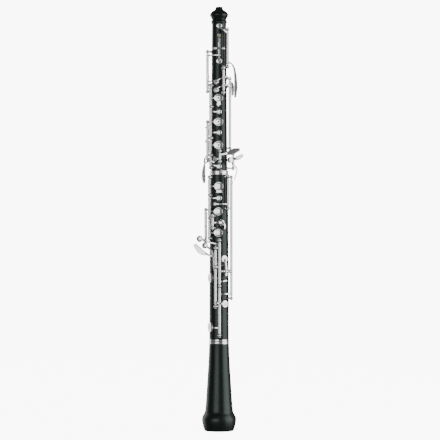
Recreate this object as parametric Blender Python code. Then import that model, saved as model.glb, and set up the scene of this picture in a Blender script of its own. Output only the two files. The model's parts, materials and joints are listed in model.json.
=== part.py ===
"""An oboe: three wooden joints with their rings, corks and liner, and silvered keywork hinged on steels."""

import math

import bmesh
import bpy
from mathutils import Vector

MM = 0.001

# Lengths along the bore, in millimetres. The origin is on the bore axis, at the bell's rim.
BELL_LENGTH = 124.3
LOWER_LENGTH = 237.7
UPPER_LENGTH = 228.0
TENON_LENGTH = 22.0

# Key places below are heights on this standard instrument. height() fits them to the lengths above.
STANDARD_BELL = 124.3
STANDARD_LOWER = 237.7
STANDARD_UPPER = 228.0

# Outside radii of the wood.
UPPER_TOP_RADIUS = 10.0
UPPER_FOOT_RADIUS = 11.5
LOWER_TOP_RADIUS = 12.7
LOWER_FOOT_RADIUS = 13.7
BELL_RIM_RADIUS = 24.0
FINIAL_RADIUS = 13.0

# Inside radii.
REED_WELL_RADIUS = 3.4
REED_WELL_DEPTH = 20.0
LINER_WALL = 0.6
BORE_TOP_RADIUS = 2.3
BORE_MIDDLE_RADIUS = 4.9
BORE_FOOT_RADIUS = 7.8
BELL_MOUTH_RADIUS = 19.0

# Tenons, corks and rings.
UPPER_TENON_RADIUS = 7.6
BELL_TENON_RADIUS = 10.0
CORK_DEPTH = 0.6
CORK_PROUD = 0.6
RING_WALL = 1.0
MIDDLE_RING_HEIGHT = 6.0
BELL_RING_HEIGHT = 3.0

# Keywork.
GAP = 0.3
STEEL_RADIUS = 1.0
TUBE_BORE_RADIUS = 1.3
TUBE_RADIUS = 1.9
BALL_RADIUS = 2.5
POST_RADIUS = 1.2
POST_FOOT_RADIUS = 2.1
POST_FOOT_HEIGHT = 0.8
POST_FLARE = 1.2
POST_NECK = 0.8
POST_SIDES = 6
FRONT = Vector((0, -1, 0))
ROD_STANDOFF = 4.0
CUP_HEIGHT = 2.3
PLATE_THICKNESS = 1.2
ARM_WIDTH = 2.4
ARM_THICKNESS = 1.5
SEAT_MARGIN = 0.6
SEAT_RELIEF = 0.2
BODY_SIDES = 24
TUBE_SIDES = 10
BORE_SIDES = 8
STEEL_SIDES = 6
PLATE_SIDES = 12

UPPER_BASE = BELL_LENGTH + LOWER_LENGTH
TOP = UPPER_BASE + UPPER_LENGTH
UPPER_ROD_RADIUS = UPPER_FOOT_RADIUS + ROD_STANDOFF
LOWER_ROD_RADIUS = LOWER_FOOT_RADIUS + ROD_STANDOFF - 0.5
LONG_ROD_RADIUS = LOWER_FOOT_RADIUS + ROD_STANDOFF + 0.4

WOOD_CUTS = {"upper_joint": [], "lower_joint": []}


def clear_scene():
    for obj in list(bpy.data.objects):
        bpy.data.objects.remove(obj)


def height(standard):
    """The height on this instrument of a place given on the standard one."""
    if standard < STANDARD_BELL:
        return standard * BELL_LENGTH / STANDARD_BELL
    if standard < STANDARD_BELL + STANDARD_LOWER:
        return BELL_LENGTH + (standard - STANDARD_BELL) * LOWER_LENGTH / STANDARD_LOWER
    above = standard - STANDARD_BELL - STANDARD_LOWER
    return UPPER_BASE + above * UPPER_LENGTH / STANDARD_UPPER


def between(z, low, high, at_low, at_high):
    share = (z - low) / (high - low)
    return at_low + share * (at_high - at_low)


def wood_radius(z):
    """Outside radius of the upper or lower joint at height z."""
    if z >= UPPER_BASE:
        return between(z, UPPER_BASE, TOP, UPPER_FOOT_RADIUS, UPPER_TOP_RADIUS)
    return between(z, BELL_LENGTH, UPPER_BASE, LOWER_FOOT_RADIUS, LOWER_TOP_RADIUS)


def polar(angle, radius, z):
    """A point at an angle in degrees from the front (-Y), turning towards +X."""
    turn = math.radians(angle)
    return Vector((radius * math.sin(turn), -radius * math.cos(turn), z))


def facing(x, z, radius):
    """The point at this x that lies in front of the axis at this radius."""
    return Vector((x, -math.sqrt(max(radius * radius - x * x, 0.0)), z))


def outward(point):
    return Vector((point.x, point.y, 0.0)).normalized()


# Materials.


def material(name, color, roughness, metallic):
    made = bpy.data.materials.new(name)
    made.use_nodes = True
    shader = made.node_tree.nodes["Principled BSDF"]
    shader.inputs["Base Color"].default_value = (*color, 1.0)
    shader.inputs["Roughness"].default_value = roughness
    shader.inputs["Metallic"].default_value = metallic
    return made


def all_materials():
    return {
        "wood": material("blackwood", (0.012, 0.013, 0.014), 0.32, 0.0),
        "silver": material("silvered_key_metal", (0.80, 0.80, 0.81), 0.18, 1.0),
        "steel": material("hinge_steel", (0.55, 0.56, 0.58), 0.30, 1.0),
        "ring": material("ring_metal", (0.78, 0.79, 0.80), 0.15, 1.0),
        "cork": material("tenon_cork", (0.55, 0.38, 0.22), 0.85, 0.0),
        "brass": material("vent_metal", (0.66, 0.58, 0.42), 0.28, 1.0),
    }


# Shapes. Each returns an object that is a guide until a part takes it.


def mesh_object(points, faces, name="shape"):
    mesh = bpy.data.meshes.new(name)
    mesh.from_pydata([Vector(p) * MM for p in points], [], faces)
    shape = bmesh.new()
    shape.from_mesh(mesh)
    bmesh.ops.recalc_face_normals(shape, faces=shape.faces)
    shape.to_mesh(mesh)
    shape.free()
    obj = bpy.data.objects.new(name, mesh)
    obj.hide_render = True
    obj.display_type = "WIRE"
    bpy.context.scene.collection.objects.link(obj)
    return obj


def loft(rings, name="shape", closed_loop=False):
    """Skins rings of the same number of points, with a cap on each end unless the rings make a loop."""
    count = len(rings[0])
    points = [p for ring in rings for p in ring]
    faces = []
    steps = len(rings) if closed_loop else len(rings) - 1
    for i in range(steps):
        a = i * count
        b = ((i + 1) % len(rings)) * count
        for j in range(count):
            k = (j + 1) % count
            faces.append((a + j, a + k, b + k, b + j))
    if not closed_loop:
        faces.append(tuple(range(count)))
        faces.append(tuple(reversed(range(len(points) - count, len(points)))))
    return mesh_object(points, faces, name)


def circle(centre, axis, radius, sides, reference=None):
    axis = axis.normalized()
    reference = reference or (Vector((0, 0, 1)) if abs(axis.z) < 0.9 else Vector((1, 0, 0)))
    across = axis.cross(reference).normalized()
    along = across.cross(axis)
    turns = [2 * math.pi * i / sides for i in range(sides)]
    return [centre + radius * (math.cos(t) * across + math.sin(t) * along) for t in turns]


def turned(profile, sides=BODY_SIDES, name="turned"):
    """A hollow turned body: profile is a closed loop of (height, radius) points."""
    centre = Vector((0, 0, 0))
    up = Vector((0, 0, 1))
    rings = [circle(centre + up * z, up, r, sides) for z, r in profile]
    return loft(rings, name, closed_loop=True)


def rod(start, end, radius, sides=TUBE_SIDES, name="rod"):
    axis = end - start
    return loft([circle(start, axis, radius, sides), circle(end, axis, radius, sides)], name)


def stacked(centre, axis, steps, sides, name="stacked"):
    """A solid turned about axis: steps are (distance along the axis, radius)."""
    axis = axis.normalized()
    return loft([circle(centre + axis * d, axis, r, sides) for d, r in steps], name)


def ball(centre, radius, axis, sides=8):
    turns = [math.radians(a) for a in (-62, -22, 22, 62)]
    steps = [(radius * math.sin(t), radius * math.cos(t)) for t in turns]
    return stacked(centre, axis, steps, sides, "ball")


def smooth_path(points, per_span=2):
    """Points on a curve through the given ones."""
    if len(points) < 3:
        return points
    ends = [2 * points[0] - points[1], *points, 2 * points[-1] - points[-2]]
    path = []
    for i in range(1, len(ends) - 2):
        a, b, c, d = ends[i - 1 : i + 3]
        for step in range(per_span):
            t = step / per_span
            path.append(
                0.5 * (
                    2 * b + (c - a) * t + (
                        2 * a - 5 * b + 4 * c - d
                    ) * t**2 + (3 * b - a - 3 * c + d) * t**3
                )
            )
    path.append(points[-1])
    return path


SECTION = ((0.5, -0.5), (0.42, 0.5), (-0.42, 0.5), (-0.5, -0.5))


def arm(points, widths=(ARM_WIDTH,), thickness=ARM_THICKNESS, per_span=2, face=None):
    """A rounded bar through the points, flat side outwards, whose width runs through the widths given."""
    path = smooth_path([Vector(p) for p in points], per_span)
    rings = []
    for i, point in enumerate(path):
        ahead = path[min(i + 1, len(path) - 1)] - path[max(i - 1, 0)]
        side = ahead.cross(face or outward(point)).normalized()
        normal = side.cross(ahead).normalized()
        place = i / (len(path) - 1) * (len(widths) - 1)
        first = min(int(place), max(len(widths) - 2, 0))
        second = min(first + 1, len(widths) - 1)
        width = widths[first] + (place - first) * (widths[second] - widths[first])
        rings.append([point + side * u * width + normal * v * thickness for u, v in SECTION])
    return loft(rings, "arm")


def plate(centre, axis, outline, thickness=PLATE_THICKNESS, crown=0.35):
    """A flat touch. outline holds (sideways, upwards) points, seen from outside with +Z up."""
    axis = axis.normalized()
    across = Vector((0, 0, 1)).cross(axis).normalized()
    up = axis.cross(across)

    def ring(share, level):
        return [centre + across * (u * share) + up * (v * share) + axis * level for u, v in outline]

    edge = 1 - 0.9 / max(abs(u) for u, _ in outline)
    return loft(
        [ring(edge, 0.0), ring(1.0, crown), ring(1.0, thickness - crown), ring(edge, thickness)],
        "plate",
    )


def oval(width, tall, sides=PLATE_SIDES, tail=0.0, tail_angle=270.0):
    """An ellipse outline, drawn out by tail towards tail_angle as a teardrop is."""
    points = []
    for i in range(sides):
        t = 2 * math.pi * i / sides
        reach = max(math.cos(t - math.radians(tail_angle)), 0.0) ** 3 * tail
        direction = math.radians(tail_angle)
        points.append(
            (
                width / 2 * math.cos(t) + reach * math.cos(direction),
                tall / 2 * math.sin(t) + reach * math.sin(direction),
            )
        )
    return points


def part(name, look, shapes, cutters=(), origin=None):
    """Joins the shapes into one named part with its own material, less the cutters, with its origin on a hinge."""
    base = shapes[0]
    base.name = name
    base.data.name = name
    base.hide_render = False
    base.display_type = "TEXTURED"
    base.data.materials.append(LOOKS[look])
    for operation, others in (("UNION", shapes[1:]), ("DIFFERENCE", list(cutters))):
        if not others:
            continue
        group = bpy.data.collections.new(name + "_" + operation.lower())
        for other in others:
            group.objects.link(other)
        step = base.modifiers.new(operation.title(), "BOOLEAN")
        step.operation = operation
        step.operand_type = "COLLECTION"
        step.collection = group
        step.solver = "EXACT"
    if origin is not None:
        pivot = origin * MM
        for shape in [base, *shapes[1:], *cutters]:
            for vertex in shape.data.vertices:
                vertex.co -= pivot
            if shape is not base:
                shape.parent = base
        base.location = pivot
    return base


# Tone holes, hinges and posts.


def joint_at(z):
    return "upper_joint" if z >= UPPER_BASE else "lower_joint"


def seat_level(z, seat_radius):
    """How far from the bore axis the flat seat of this radius lies."""
    wood = wood_radius(z)
    return math.sqrt(wood * wood - seat_radius * seat_radius) - SEAT_RELIEF


def tone_hole(angle, z, pad_radius, hole_radius):
    """Cuts a flat seat and a hole into the bore, and returns the closed pad's level."""
    seat_radius = pad_radius + SEAT_MARGIN
    level = seat_level(z, seat_radius)
    facing_out = polar(angle, 1.0, 0.0)
    foot = Vector((0, 0, z))
    cuts = WOOD_CUTS[joint_at(z)]
    cuts.append(rod(foot + facing_out * level, foot + facing_out * (level + 5), seat_radius, 10, "seat"))
    cuts.append(rod(foot + facing_out * 0.2, foot + facing_out * (level + 1), hole_radius, 8, "hole"))
    return level + GAP


def cup(angle, z, pad_radius, level):
    """A pad cup whose pad lies at this level, and the level of its crown."""
    profile = ((0.0, 0.96), (0.62, 1.0), (0.88, 0.82), (1.0, 0.45))
    steps = [(level + share * CUP_HEIGHT, pad_radius * reach) for share, reach in profile]
    return stacked(Vector((0, 0, z)), polar(angle, 1.0, 0.0), steps, 12, "cup")


def across_at(angle):
    """The direction to the right as seen from outside at this angle."""
    turn = math.radians(angle)
    return Vector((math.cos(turn), math.sin(turn), 0.0))


def post(foot_angle, head):
    """A ball-headed post standing on the wood below its head."""
    out = polar(foot_angle, 1.0, 0.0)
    level = Vector((0, 0, head.z))
    foot = wood_radius(head.z) + GAP
    reach = head.dot(out)
    offset = head - level - out * reach
    base = level + offset
    return [
        ball(head, BALL_RADIUS, Vector((0, 0, 1))),
        stacked(
            base,
            out,
            (
                (foot, POST_FOOT_RADIUS),
                (foot + POST_FOOT_HEIGHT, POST_RADIUS * POST_FLARE),
                (reach, POST_RADIUS * POST_NECK),
            ),
            POST_SIDES,
            "post",
        ),
    ]


def upright_posts(name, angle, radius, heights):
    """Posts along a rod parallel to the bore, joined by the steel that runs through them."""
    heights = [height(z) for z in heights]
    steel = rod(
        polar(angle, radius, min(heights)),
        polar(angle, radius, max(heights)),
        STEEL_RADIUS,
        STEEL_SIDES,
        "steel",
    )
    shapes = [steel]
    for z in heights:
        shapes += post(angle, polar(angle, radius, z))
    part(name, "steel", shapes)


def cross_posts(name, angle, radius, z, half_length):
    """Two posts holding a steel across the body."""
    centre = polar(angle, radius, height(z))
    side = across_at(angle) * half_length
    shapes = [rod(centre - side, centre + side, STEEL_RADIUS, STEEL_SIDES, "steel")]
    for head in (centre - side, centre + side):
        shapes.append(ball(head, BALL_RADIUS, across_at(angle)))
        out = polar(angle, 1.0, 0.0)
        reach = head.dot(out)
        inner_edge = half_length - POST_RADIUS
        foot = math.sqrt(wood_radius(head.z) ** 2 - inner_edge**2) + GAP
        shapes.append(
            stacked(head - out * reach, out, ((foot, POST_RADIUS), (reach, POST_RADIUS * POST_NECK)), POST_SIDES, "post")
        )
    part(name, "steel", shapes)


def key(name, hinge, tube, shapes, opens, lift, stands_open=False, holes=()):
    """A key on its hinge tube. hinge is (angle, radius); opens is the turn's sign that lifts it, lift is in degrees."""
    angle, radius = hinge
    low, high = (height(z) for z in tube)
    start, end = polar(angle, radius, low), polar(angle, radius, high)
    barrel = rod(start, end, TUBE_RADIUS, TUBE_SIDES, "tube")
    bore = rod(start - Vector((0, 0, 2)), end + Vector((0, 0, 2)), TUBE_BORE_RADIUS, BORE_SIDES, "bore")
    finish_key(
        name,
        [barrel, *shapes],
        [bore, *holes],
        (start + end) / 2,
        Vector((0, 0, 1)),
        opens,
        lift,
        stands_open,
    )


def cross_key(name, angle, radius, z, half_length, shapes, opens, lift, stands_open=False, holes=()):
    """A key on a hinge that lies across the body."""
    centre = polar(angle, radius, height(z))
    side = across_at(angle)
    barrel = rod(centre - side * half_length, centre + side * half_length, TUBE_RADIUS, TUBE_SIDES, "tube")
    reach = half_length + 2
    bore = rod(centre - side * reach, centre + side * reach, TUBE_BORE_RADIUS, BORE_SIDES, "bore")
    finish_key(name, [barrel, *shapes], [bore, *holes], centre, side, opens, lift, stands_open)


def finish_key(name, shapes, cutters, pivot, axis, opens, lift, stands_open):
    """Joins a key modelled closed, then turns it to where it stands at rest."""
    made = part(name, "silver", shapes, cutters, pivot)
    turn = opens * lift
    made["hinge_axis"] = list(axis)
    made["hinge_range_degrees"] = sorted((0, -turn if stands_open else turn))
    if stands_open:
        made.rotation_mode = "AXIS_ANGLE"
        made.rotation_axis_angle = (math.radians(turn), *axis)


def cup_arm(hinge, pad_angle, z, crown, start_z=None, widths=(ARM_WIDTH,), bow=0.9):
    """The arm from a hinge tube to the crown of its cup."""
    angle, radius = hinge
    start = polar(angle, radius, z if start_z is None else start_z)
    end = polar(pad_angle, crown - 0.3, z)
    middle = (start + end) / 2
    middle += outward(middle) * bow
    return arm([start, middle, end], widths)


def stack_key(
    name,
    hinge,
    tube,
    pad,
    opens=-1,
    lift=6,
    face=None,
    pierced=False,
    extras=(),
    start_z=None,
    bow=0.9,
):
    """A key that stands open over its tone hole: pad is (angle, height, pad radius, hole radius)."""
    pad_angle, pad_z, pad_radius, hole_radius = pad
    z = height(pad_z)
    level = tone_hole(pad_angle, z, pad_radius, hole_radius)
    crown = level + CUP_HEIGHT
    shapes = [cup(pad_angle, z, pad_radius, level)]
    shapes.append(cup_arm(hinge, pad_angle, z, crown, start_z and height(start_z), bow=bow))
    if face:
        shapes.append(plate(polar(pad_angle, crown - 0.4, z), polar(pad_angle, 1, 0), face))
    shapes += [extra(crown) for extra in extras]
    holes = []
    if pierced:
        out = polar(pad_angle, 1.0, 0.0)
        foot = Vector((0, 0, z))
        holes.append(rod(foot + out * (level - 1), foot + out * (crown + 3), 0.8, 8, "vent"))
    key(name, hinge, tube, shapes, opens, lift, stands_open=True, holes=holes)


# Wood, rings, corks and liner.


def make_bell():
    socket = BELL_TENON_RADIUS + CORK_PROUD + GAP
    depth = BELL_LENGTH - TENON_LENGTH - GAP
    rim = height(14.2)
    ring_seat = LOWER_FOOT_RADIUS + 0.2 - RING_WALL - GAP
    ring_foot = BELL_LENGTH - BELL_RING_HEIGHT - GAP
    outside = [
        (BELL_LENGTH - GAP / 2, ring_seat),
        (ring_foot, ring_seat),
        (ring_foot, LOWER_FOOT_RADIUS + 0.2),
        (height(101.2), BELL_RIM_RADIUS * 0.608),
        (height(81.7), BELL_RIM_RADIUS * 0.655),
        (height(62.2), BELL_RIM_RADIUS * 0.706),
        (height(42.7), BELL_RIM_RADIUS * 0.76),
        (height(26.9), BELL_RIM_RADIUS * 0.822),
        (height(22.6), BELL_RIM_RADIUS * 0.9),
        (height(18.1), BELL_RIM_RADIUS * 0.988),
        (rim, BELL_RIM_RADIUS),
        (height(8.4), BELL_RIM_RADIUS * 0.935),
        (height(3.5), BELL_RIM_RADIUS * 0.875),
        (0.0, BELL_MOUTH_RADIUS + 0.9),
    ]
    inside = [
        (0.0, BELL_MOUTH_RADIUS - 1.6),
        (height(4.0), BELL_MOUTH_RADIUS - 2.6),
        (height(14.0), BELL_MOUTH_RADIUS - 4.6),
        (height(40.0), BELL_MOUTH_RADIUS - 7.2),
        (depth, BORE_FOOT_RADIUS + 0.6),
        (depth, socket),
        (BELL_LENGTH - GAP / 2, socket),
    ]
    part("bell", "wood", [turned(outside + inside)])


def make_lower_joint():
    tenon = BELL_TENON_RADIUS
    socket = UPPER_TENON_RADIUS + CORK_PROUD + GAP
    foot = BELL_LENGTH - TENON_LENGTH
    cork = tenon - CORK_DEPTH
    ring_seat = LOWER_FOOT_RADIUS + 0.2 - RING_WALL - GAP
    collar = LOWER_TOP_RADIUS - RING_WALL - GAP
    shoulder = UPPER_BASE - MIDDLE_RING_HEIGHT - GAP
    profile = [
        (UPPER_BASE - GAP / 2, socket),
        (UPPER_BASE - GAP / 2, collar),
        (shoulder, collar),
        (shoulder, LOWER_TOP_RADIUS),
        (BELL_LENGTH + BELL_RING_HEIGHT + 2 * GAP, LOWER_FOOT_RADIUS),
        (BELL_LENGTH + BELL_RING_HEIGHT + 2 * GAP, ring_seat),
        (BELL_LENGTH + GAP / 2, ring_seat),
        (BELL_LENGTH + GAP / 2, tenon),
        (BELL_LENGTH - 3.0, tenon),
        (BELL_LENGTH - 3.0, cork),
        (foot + 3.0, cork),
        (foot + 3.0, tenon),
        (foot, tenon),
        (foot, BORE_FOOT_RADIUS),
        (UPPER_BASE - TENON_LENGTH - GAP, BORE_MIDDLE_RADIUS),
        (UPPER_BASE - TENON_LENGTH - GAP, socket),
    ]
    part("lower_joint", "wood", [turned(profile)], WOOD_CUTS["lower_joint"])


def make_upper_joint():
    tenon = UPPER_TENON_RADIUS
    foot = UPPER_BASE - TENON_LENGTH
    cork = tenon - CORK_DEPTH
    well = REED_WELL_RADIUS + LINER_WALL + GAP
    well_floor = TOP - REED_WELL_DEPTH - GAP
    neck = TOP - 24.0
    profile = [
        (TOP - 0.3, well),
        (TOP - 0.3, well + 0.7),
        (TOP - 3.0, well + 1.1),
        (TOP - 4.4, FINIAL_RADIUS * 0.5),
        (TOP - 5.7, FINIAL_RADIUS * 0.72),
        (TOP - 8.2, FINIAL_RADIUS * 0.93),
        (TOP - 11.0, FINIAL_RADIUS),
        (TOP - 14.0, FINIAL_RADIUS * 0.92),
        (TOP - 17.4, FINIAL_RADIUS * 0.76),
        (TOP - 18.6, UPPER_TOP_RADIUS - 0.3),
        (TOP - 19.8, UPPER_TOP_RADIUS + 0.8),
        (TOP - 21.4, UPPER_TOP_RADIUS + 1.1),
        (TOP - 23.1, UPPER_TOP_RADIUS + 0.2),
        (neck, UPPER_TOP_RADIUS),
        (UPPER_BASE + GAP / 2, UPPER_FOOT_RADIUS),
        (UPPER_BASE + GAP / 2, tenon),
        (UPPER_BASE - 3.0, tenon),
        (UPPER_BASE - 3.0, cork),
        (foot + 3.0, cork),
        (foot + 3.0, tenon),
        (foot, tenon),
        (foot, BORE_MIDDLE_RADIUS),
        (well_floor, BORE_TOP_RADIUS),
        (well_floor, well),
    ]
    part("upper_joint", "wood", [turned(profile)], WOOD_CUTS["upper_joint"])


def make_sleeve(name, look, low, high, inner, outer, sides=BODY_SIDES):
    profile = [(high, inner), (high, outer), (low, outer), (low, inner)]
    part(name, look, [turned(profile, sides)])


def make_fittings():
    make_sleeve(
        "reed_well_liner",
        "ring",
        TOP - REED_WELL_DEPTH,
        TOP,
        REED_WELL_RADIUS,
        REED_WELL_RADIUS + LINER_WALL,
        24,
    )
    low = UPPER_BASE - TENON_LENGTH + 3.0 + GAP
    inner = UPPER_TENON_RADIUS - CORK_DEPTH + GAP
    make_sleeve(
        "upper_tenon_cork",
        "cork",
        low,
        UPPER_BASE - 3.0 - GAP,
        inner,
        UPPER_TENON_RADIUS + CORK_PROUD,
    )
    low = BELL_LENGTH - TENON_LENGTH + 3.0 + GAP
    inner = BELL_TENON_RADIUS - CORK_DEPTH + GAP
    make_sleeve(
        "bell_tenon_cork",
        "cork",
        low,
        BELL_LENGTH - 3.0 - GAP,
        inner,
        BELL_TENON_RADIUS + CORK_PROUD,
    )
    outer = LOWER_TOP_RADIUS
    make_sleeve(
        "middle_ring", "ring", UPPER_BASE - MIDDLE_RING_HEIGHT, UPPER_BASE - GAP / 2, outer - RING_WALL, outer
    )
    outer = LOWER_FOOT_RADIUS + 0.2
    low = BELL_LENGTH + GAP / 2
    make_sleeve("lower_joint_ring", "ring", low, low + BELL_RING_HEIGHT, outer - RING_WALL, outer)
    high = BELL_LENGTH - GAP / 2
    make_sleeve("bell_ring", "ring", high - BELL_RING_HEIGHT, high, outer - RING_WALL, outer)


THUMB_REST_Z = 236.0


def make_thumb_rest():
    """The hook on the back that the right thumb holds up, on its screwed base plate."""
    z = height(THUMB_REST_Z)
    wood = wood_radius(z) + GAP
    back = Vector((0, 1, 0))
    base = plate(Vector((0, wood, z)), back, oval(12, 30), 1.4)
    stem = arm(
        [(0, wood + 0.8, z), (0, wood + 5, z + 0.4), (0, wood + 9, z + 1.2)],
        (9, 9, 10),
        2.2,
        face=Vector((0, 0, 1)),
    )
    shelf = arm([(0, wood + 7, z + 0.9), (0, wood + 14, z + 0.9)], (12, 12), 2.4, face=Vector((0, 0, 1)))
    part("thumb_rest", "silver", [base, stem, shelf])


def make_vents():
    """Metal inserts set in the wood under the smallest pads."""
    for name, angle, z, radius in (("trill_vent", 0, 549.5, 2.6), ("thumb_octave_vent", 180, 492.0, 2.2)):
        z = height(z)
        out = polar(angle, 1.0, 0.0)
        centre = Vector((0, 0, z))
        low, high = BORE_TOP_RADIUS + 2.5, wood_radius(z) + 0.5
        body = stacked(centre, out, ((low, radius), (high - 0.3, radius), (high, radius - 0.3)), 14)
        through = rod(centre + out * (low - 1), centre + out * (high + 1), 0.6, 8, "vent")
        part(name, "brass", [body], [through])
        cuts = WOOD_CUTS["upper_joint"]
        cuts.append(
            rod(centre + out * (low - GAP), centre + out * (high + 3), radius + GAP, 14, "vent_seat")
        )
        cuts.append(rod(centre + out * 0.2, centre + out * high, 0.8, 8, "vent_hole"))


# Upper joint keywork.

STACK_LEFT = (-51, UPPER_ROD_RADIUS)
TRILL_ROD = (50, UPPER_ROD_RADIUS)
TRILL_LINK_ROD = (-77, UPPER_ROD_RADIUS + 1)
SIDE_KEY_ROD = (24, UPPER_ROD_RADIUS)
SIDE_PAD_ANGLE = -20
SIDE_OCTAVE_ROD = (68, UPPER_ROD_RADIUS + 0.8)
TRILL_LEVER_ROD = (-80, UPPER_ROD_RADIUS + 0.8)
G_SHARP_ROD = (4, UPPER_ROD_RADIUS + 0.6)
PINKY_ROD = (73, UPPER_ROD_RADIUS + 5)


def make_upper_stack():
    upright_posts("upper_stack_posts", *STACK_LEFT, (480.2, 450.6, 407, 383.4, 366))
    tail = [
        (3.2, 4.5),
        (3.9, 0.5),
        (2.4, -5.0),
        (3.0, -10.0),
        (0, -12.6),
        (-3.0, -10.0),
        (-2.4, -5.0),
        (-3.9, 0.5),
    ]
    half = [(5.5 * math.cos(math.radians(a)), 5.5 * math.sin(math.radians(a))) for a in range(-30, 211, 30)]
    outline = half + [p for p in reversed(tail) if p[1] < -2]
    stack_key("half_hole_key", STACK_LEFT, (453.6, 477.3), (0, 462.5, 4.2, 1.6), face=outline, pierced=True)
    stack_key("c_key", STACK_LEFT, (436.6, 447.6), (0, 443.4, 3.9, 1.8))
    drop = oval(11.6, 11.6, tail=1.6, tail_angle=180)
    stack_key("a_key", STACK_LEFT, (421.6, 436.2), (0, 429.5, 4.6, 2.1), face=drop, pierced=True)
    stack_key("b_flat_key", STACK_LEFT, (410.2, 421.2), (0, 414.6, 3.9, 2.1))
    stack_key("g_key", STACK_LEFT, (386.3, 404), (0, 397.2, 4.6, 2.4), face=drop, pierced=True)

    def hook(crown):
        top, foot = height(366), height(359)
        return arm(
            [
                facing(1.5, top, crown - 0.2),
                facing(3.2, (top + foot) / 2, crown + 1.4),
                facing(2.2, foot, crown + 1.8),
            ]
        )

    stack_key("bridge_key", STACK_LEFT, (369, 380.5), (0, 367.6, 3.9, 2.4), extras=(hook,), start_z=370.4)


def make_trill_keys():
    upright_posts("upper_trill_posts", *TRILL_ROD, (557.3, 506))
    z = height(563.0)
    level = tone_hole(0, z, 4.0, 1.6)
    crown = level + CUP_HEIGHT
    neck = arm(
        [
            polar(50, UPPER_ROD_RADIUS, height(552.5)),
            polar(34, 15.6, height(554.5)),
            polar(12, 14.4, height(559.0)),
            polar(0, crown - 0.3, z),
        ]
    )
    touch = arm(
        [
            polar(50, UPPER_ROD_RADIUS, height(511.5)),
            (16.4, -13.2, height(510.5)),
            (20.8, -13.6, height(504)),
            (22.6, -13.2, height(492)),
            (23.2, -12.4, height(477)),
            (22.2, -11.4, height(463)),
        ],
        (2.4, 2.6, 3.0, 4.2, 5.4, 3.4),
        1.4,
        face=FRONT,
    )
    key("upper_trill_key", TRILL_ROD, (509, 554.2), [cup(0, z, 4.0, level), neck, touch], 1, 6)

    z = height(514)
    level = tone_hole(0, z, 4.2, 1.6)
    crown = level + CUP_HEIGHT
    over = UPPER_TOP_RADIUS + 5.0
    rocker = arm(
        [
            (0, -over + 1.2, height(546)),
            (0, -over - 0.4, height(539)),
            (0, -over, height(531.1)),
            (0, -over + 0.2, height(521)),
            (0, -crown + 0.3, z),
        ],
        (3.4, 2.6, 3.4, 2.6, 3.0),
    )
    cross_posts("lower_trill_posts", 0, over, 531.1, 5.6)
    cross_key("lower_trill_key", 0, over, 531.1, 2.8, [cup(0, z, 4.2, level), rocker], -1, 6)

    upright_posts("trill_link_posts", *TRILL_LINK_ROD, (527.2, 472))
    inner = UPPER_TOP_RADIUS + 2.4
    upper = arm(
        [
            polar(-77, TRILL_LINK_ROD[1], height(522)),
            polar(-55, 14.2, height(522)),
            polar(-25, inner, height(522)),
            polar(9, inner - 0.1, height(522)),
        ],
        (2.2, 1.8, 2.2),
        1.1,
    )
    lower = arm(
        [
            polar(-77, TRILL_LINK_ROD[1], height(485.8)),
            polar(-58, 14.8, height(485.8)),
            polar(-44, 13.8, height(485.8)),
        ],
        (2.0,),
        1.3,
    )
    strip = plate(polar(-62, 16.6, height(492)), polar(-62, 1, 0), oval(6.4, 9.2))
    key("trill_link", TRILL_LINK_ROD, (474.9, 524.3), [upper, lower, strip], -1, 4)


def make_side_keys():
    upright_posts("side_key_posts", *SIDE_KEY_ROD, (504, 470.2))
    for name, tube, pad_z, pad_radius in (
        ("side_c_key", (488.6, 501), 484.8, 3.6),
        ("side_b_flat_key", (473.2, 488.2), 473.6, 3.8),
    ):
        z = height(pad_z)
        level = tone_hole(SIDE_PAD_ANGLE, z, pad_radius, 2.0)
        crown = level + CUP_HEIGHT
        start = height(pad_z + 5.6)
        to_pad = arm(
            [
                polar(24, UPPER_ROD_RADIUS, start),
                polar(6, UPPER_ROD_RADIUS - 0.6, start - 1.4),
                polar(-12, 14.0, z + 1.2),
                polar(SIDE_PAD_ANGLE, crown - 0.3, z),
            ],
            (2.2, 2.0, 2.4),
        )
        touch = arm(
            [
                polar(24, UPPER_ROD_RADIUS + 0.6, start),
                (10.5, -16.6, start + 0.8),
                (13.4, -15.2, start + 0.4),
                (15.6, -13.4, start - 1.2),
            ],
            (2.2, 2.6, 3.2, 2.6),
        )
        key(name, SIDE_KEY_ROD, tube, [cup(SIDE_PAD_ANGLE, z, pad_radius, level), to_pad, touch], 1, 6)


def make_octave_keys():
    upright_posts("side_octave_posts", *SIDE_OCTAVE_ROD, (489.6, 393))
    z = height(479)
    level = tone_hole(112, z, 2.8, 1.0)
    reach = cup_arm(SIDE_OCTAVE_ROD, 112, z, level + CUP_HEIGHT)
    touch = arm(
        [
            polar(68, SIDE_OCTAVE_ROD[1], height(484.5)),
            (18.3, -6.9, height(483.4)),
            (19.0, -8.4, height(476)),
            (18.7, -8.7, height(466)),
        ],
        (2.2, 2.6, 4.2, 3.0),
        face=FRONT,
    )
    key("side_octave_key", SIDE_OCTAVE_ROD, (395.8, 486.8), [cup(112, z, 2.8, level), reach, touch], -1, 6)

    over = UPPER_TOP_RADIUS + 4.6
    z = height(492)
    level = wood_radius(z) + 0.5 + GAP
    crown = level + CUP_HEIGHT
    cross_posts("thumb_octave_posts", 180, over, 480, 6.4)
    lever = arm(
        [
            (0, crown - 0.3, z),
            (0, over + 0.6, height(487)),
            (0, over, height(480)),
            (0, over + 0.8, height(472)),
            (0, over + 0.4, height(466)),
        ],
        (3.0, 2.6, 3.2, 3.4, 5.0),
    )
    touch = plate(Vector((0, over - 0.4, height(458))), Vector((0, 1, 0)), oval(12, 20))
    cross_key("thumb_octave_key", 180, over, 480, 3.6, [cup(180, z, 3.0, level), lever, touch], 1, 5)


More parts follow.
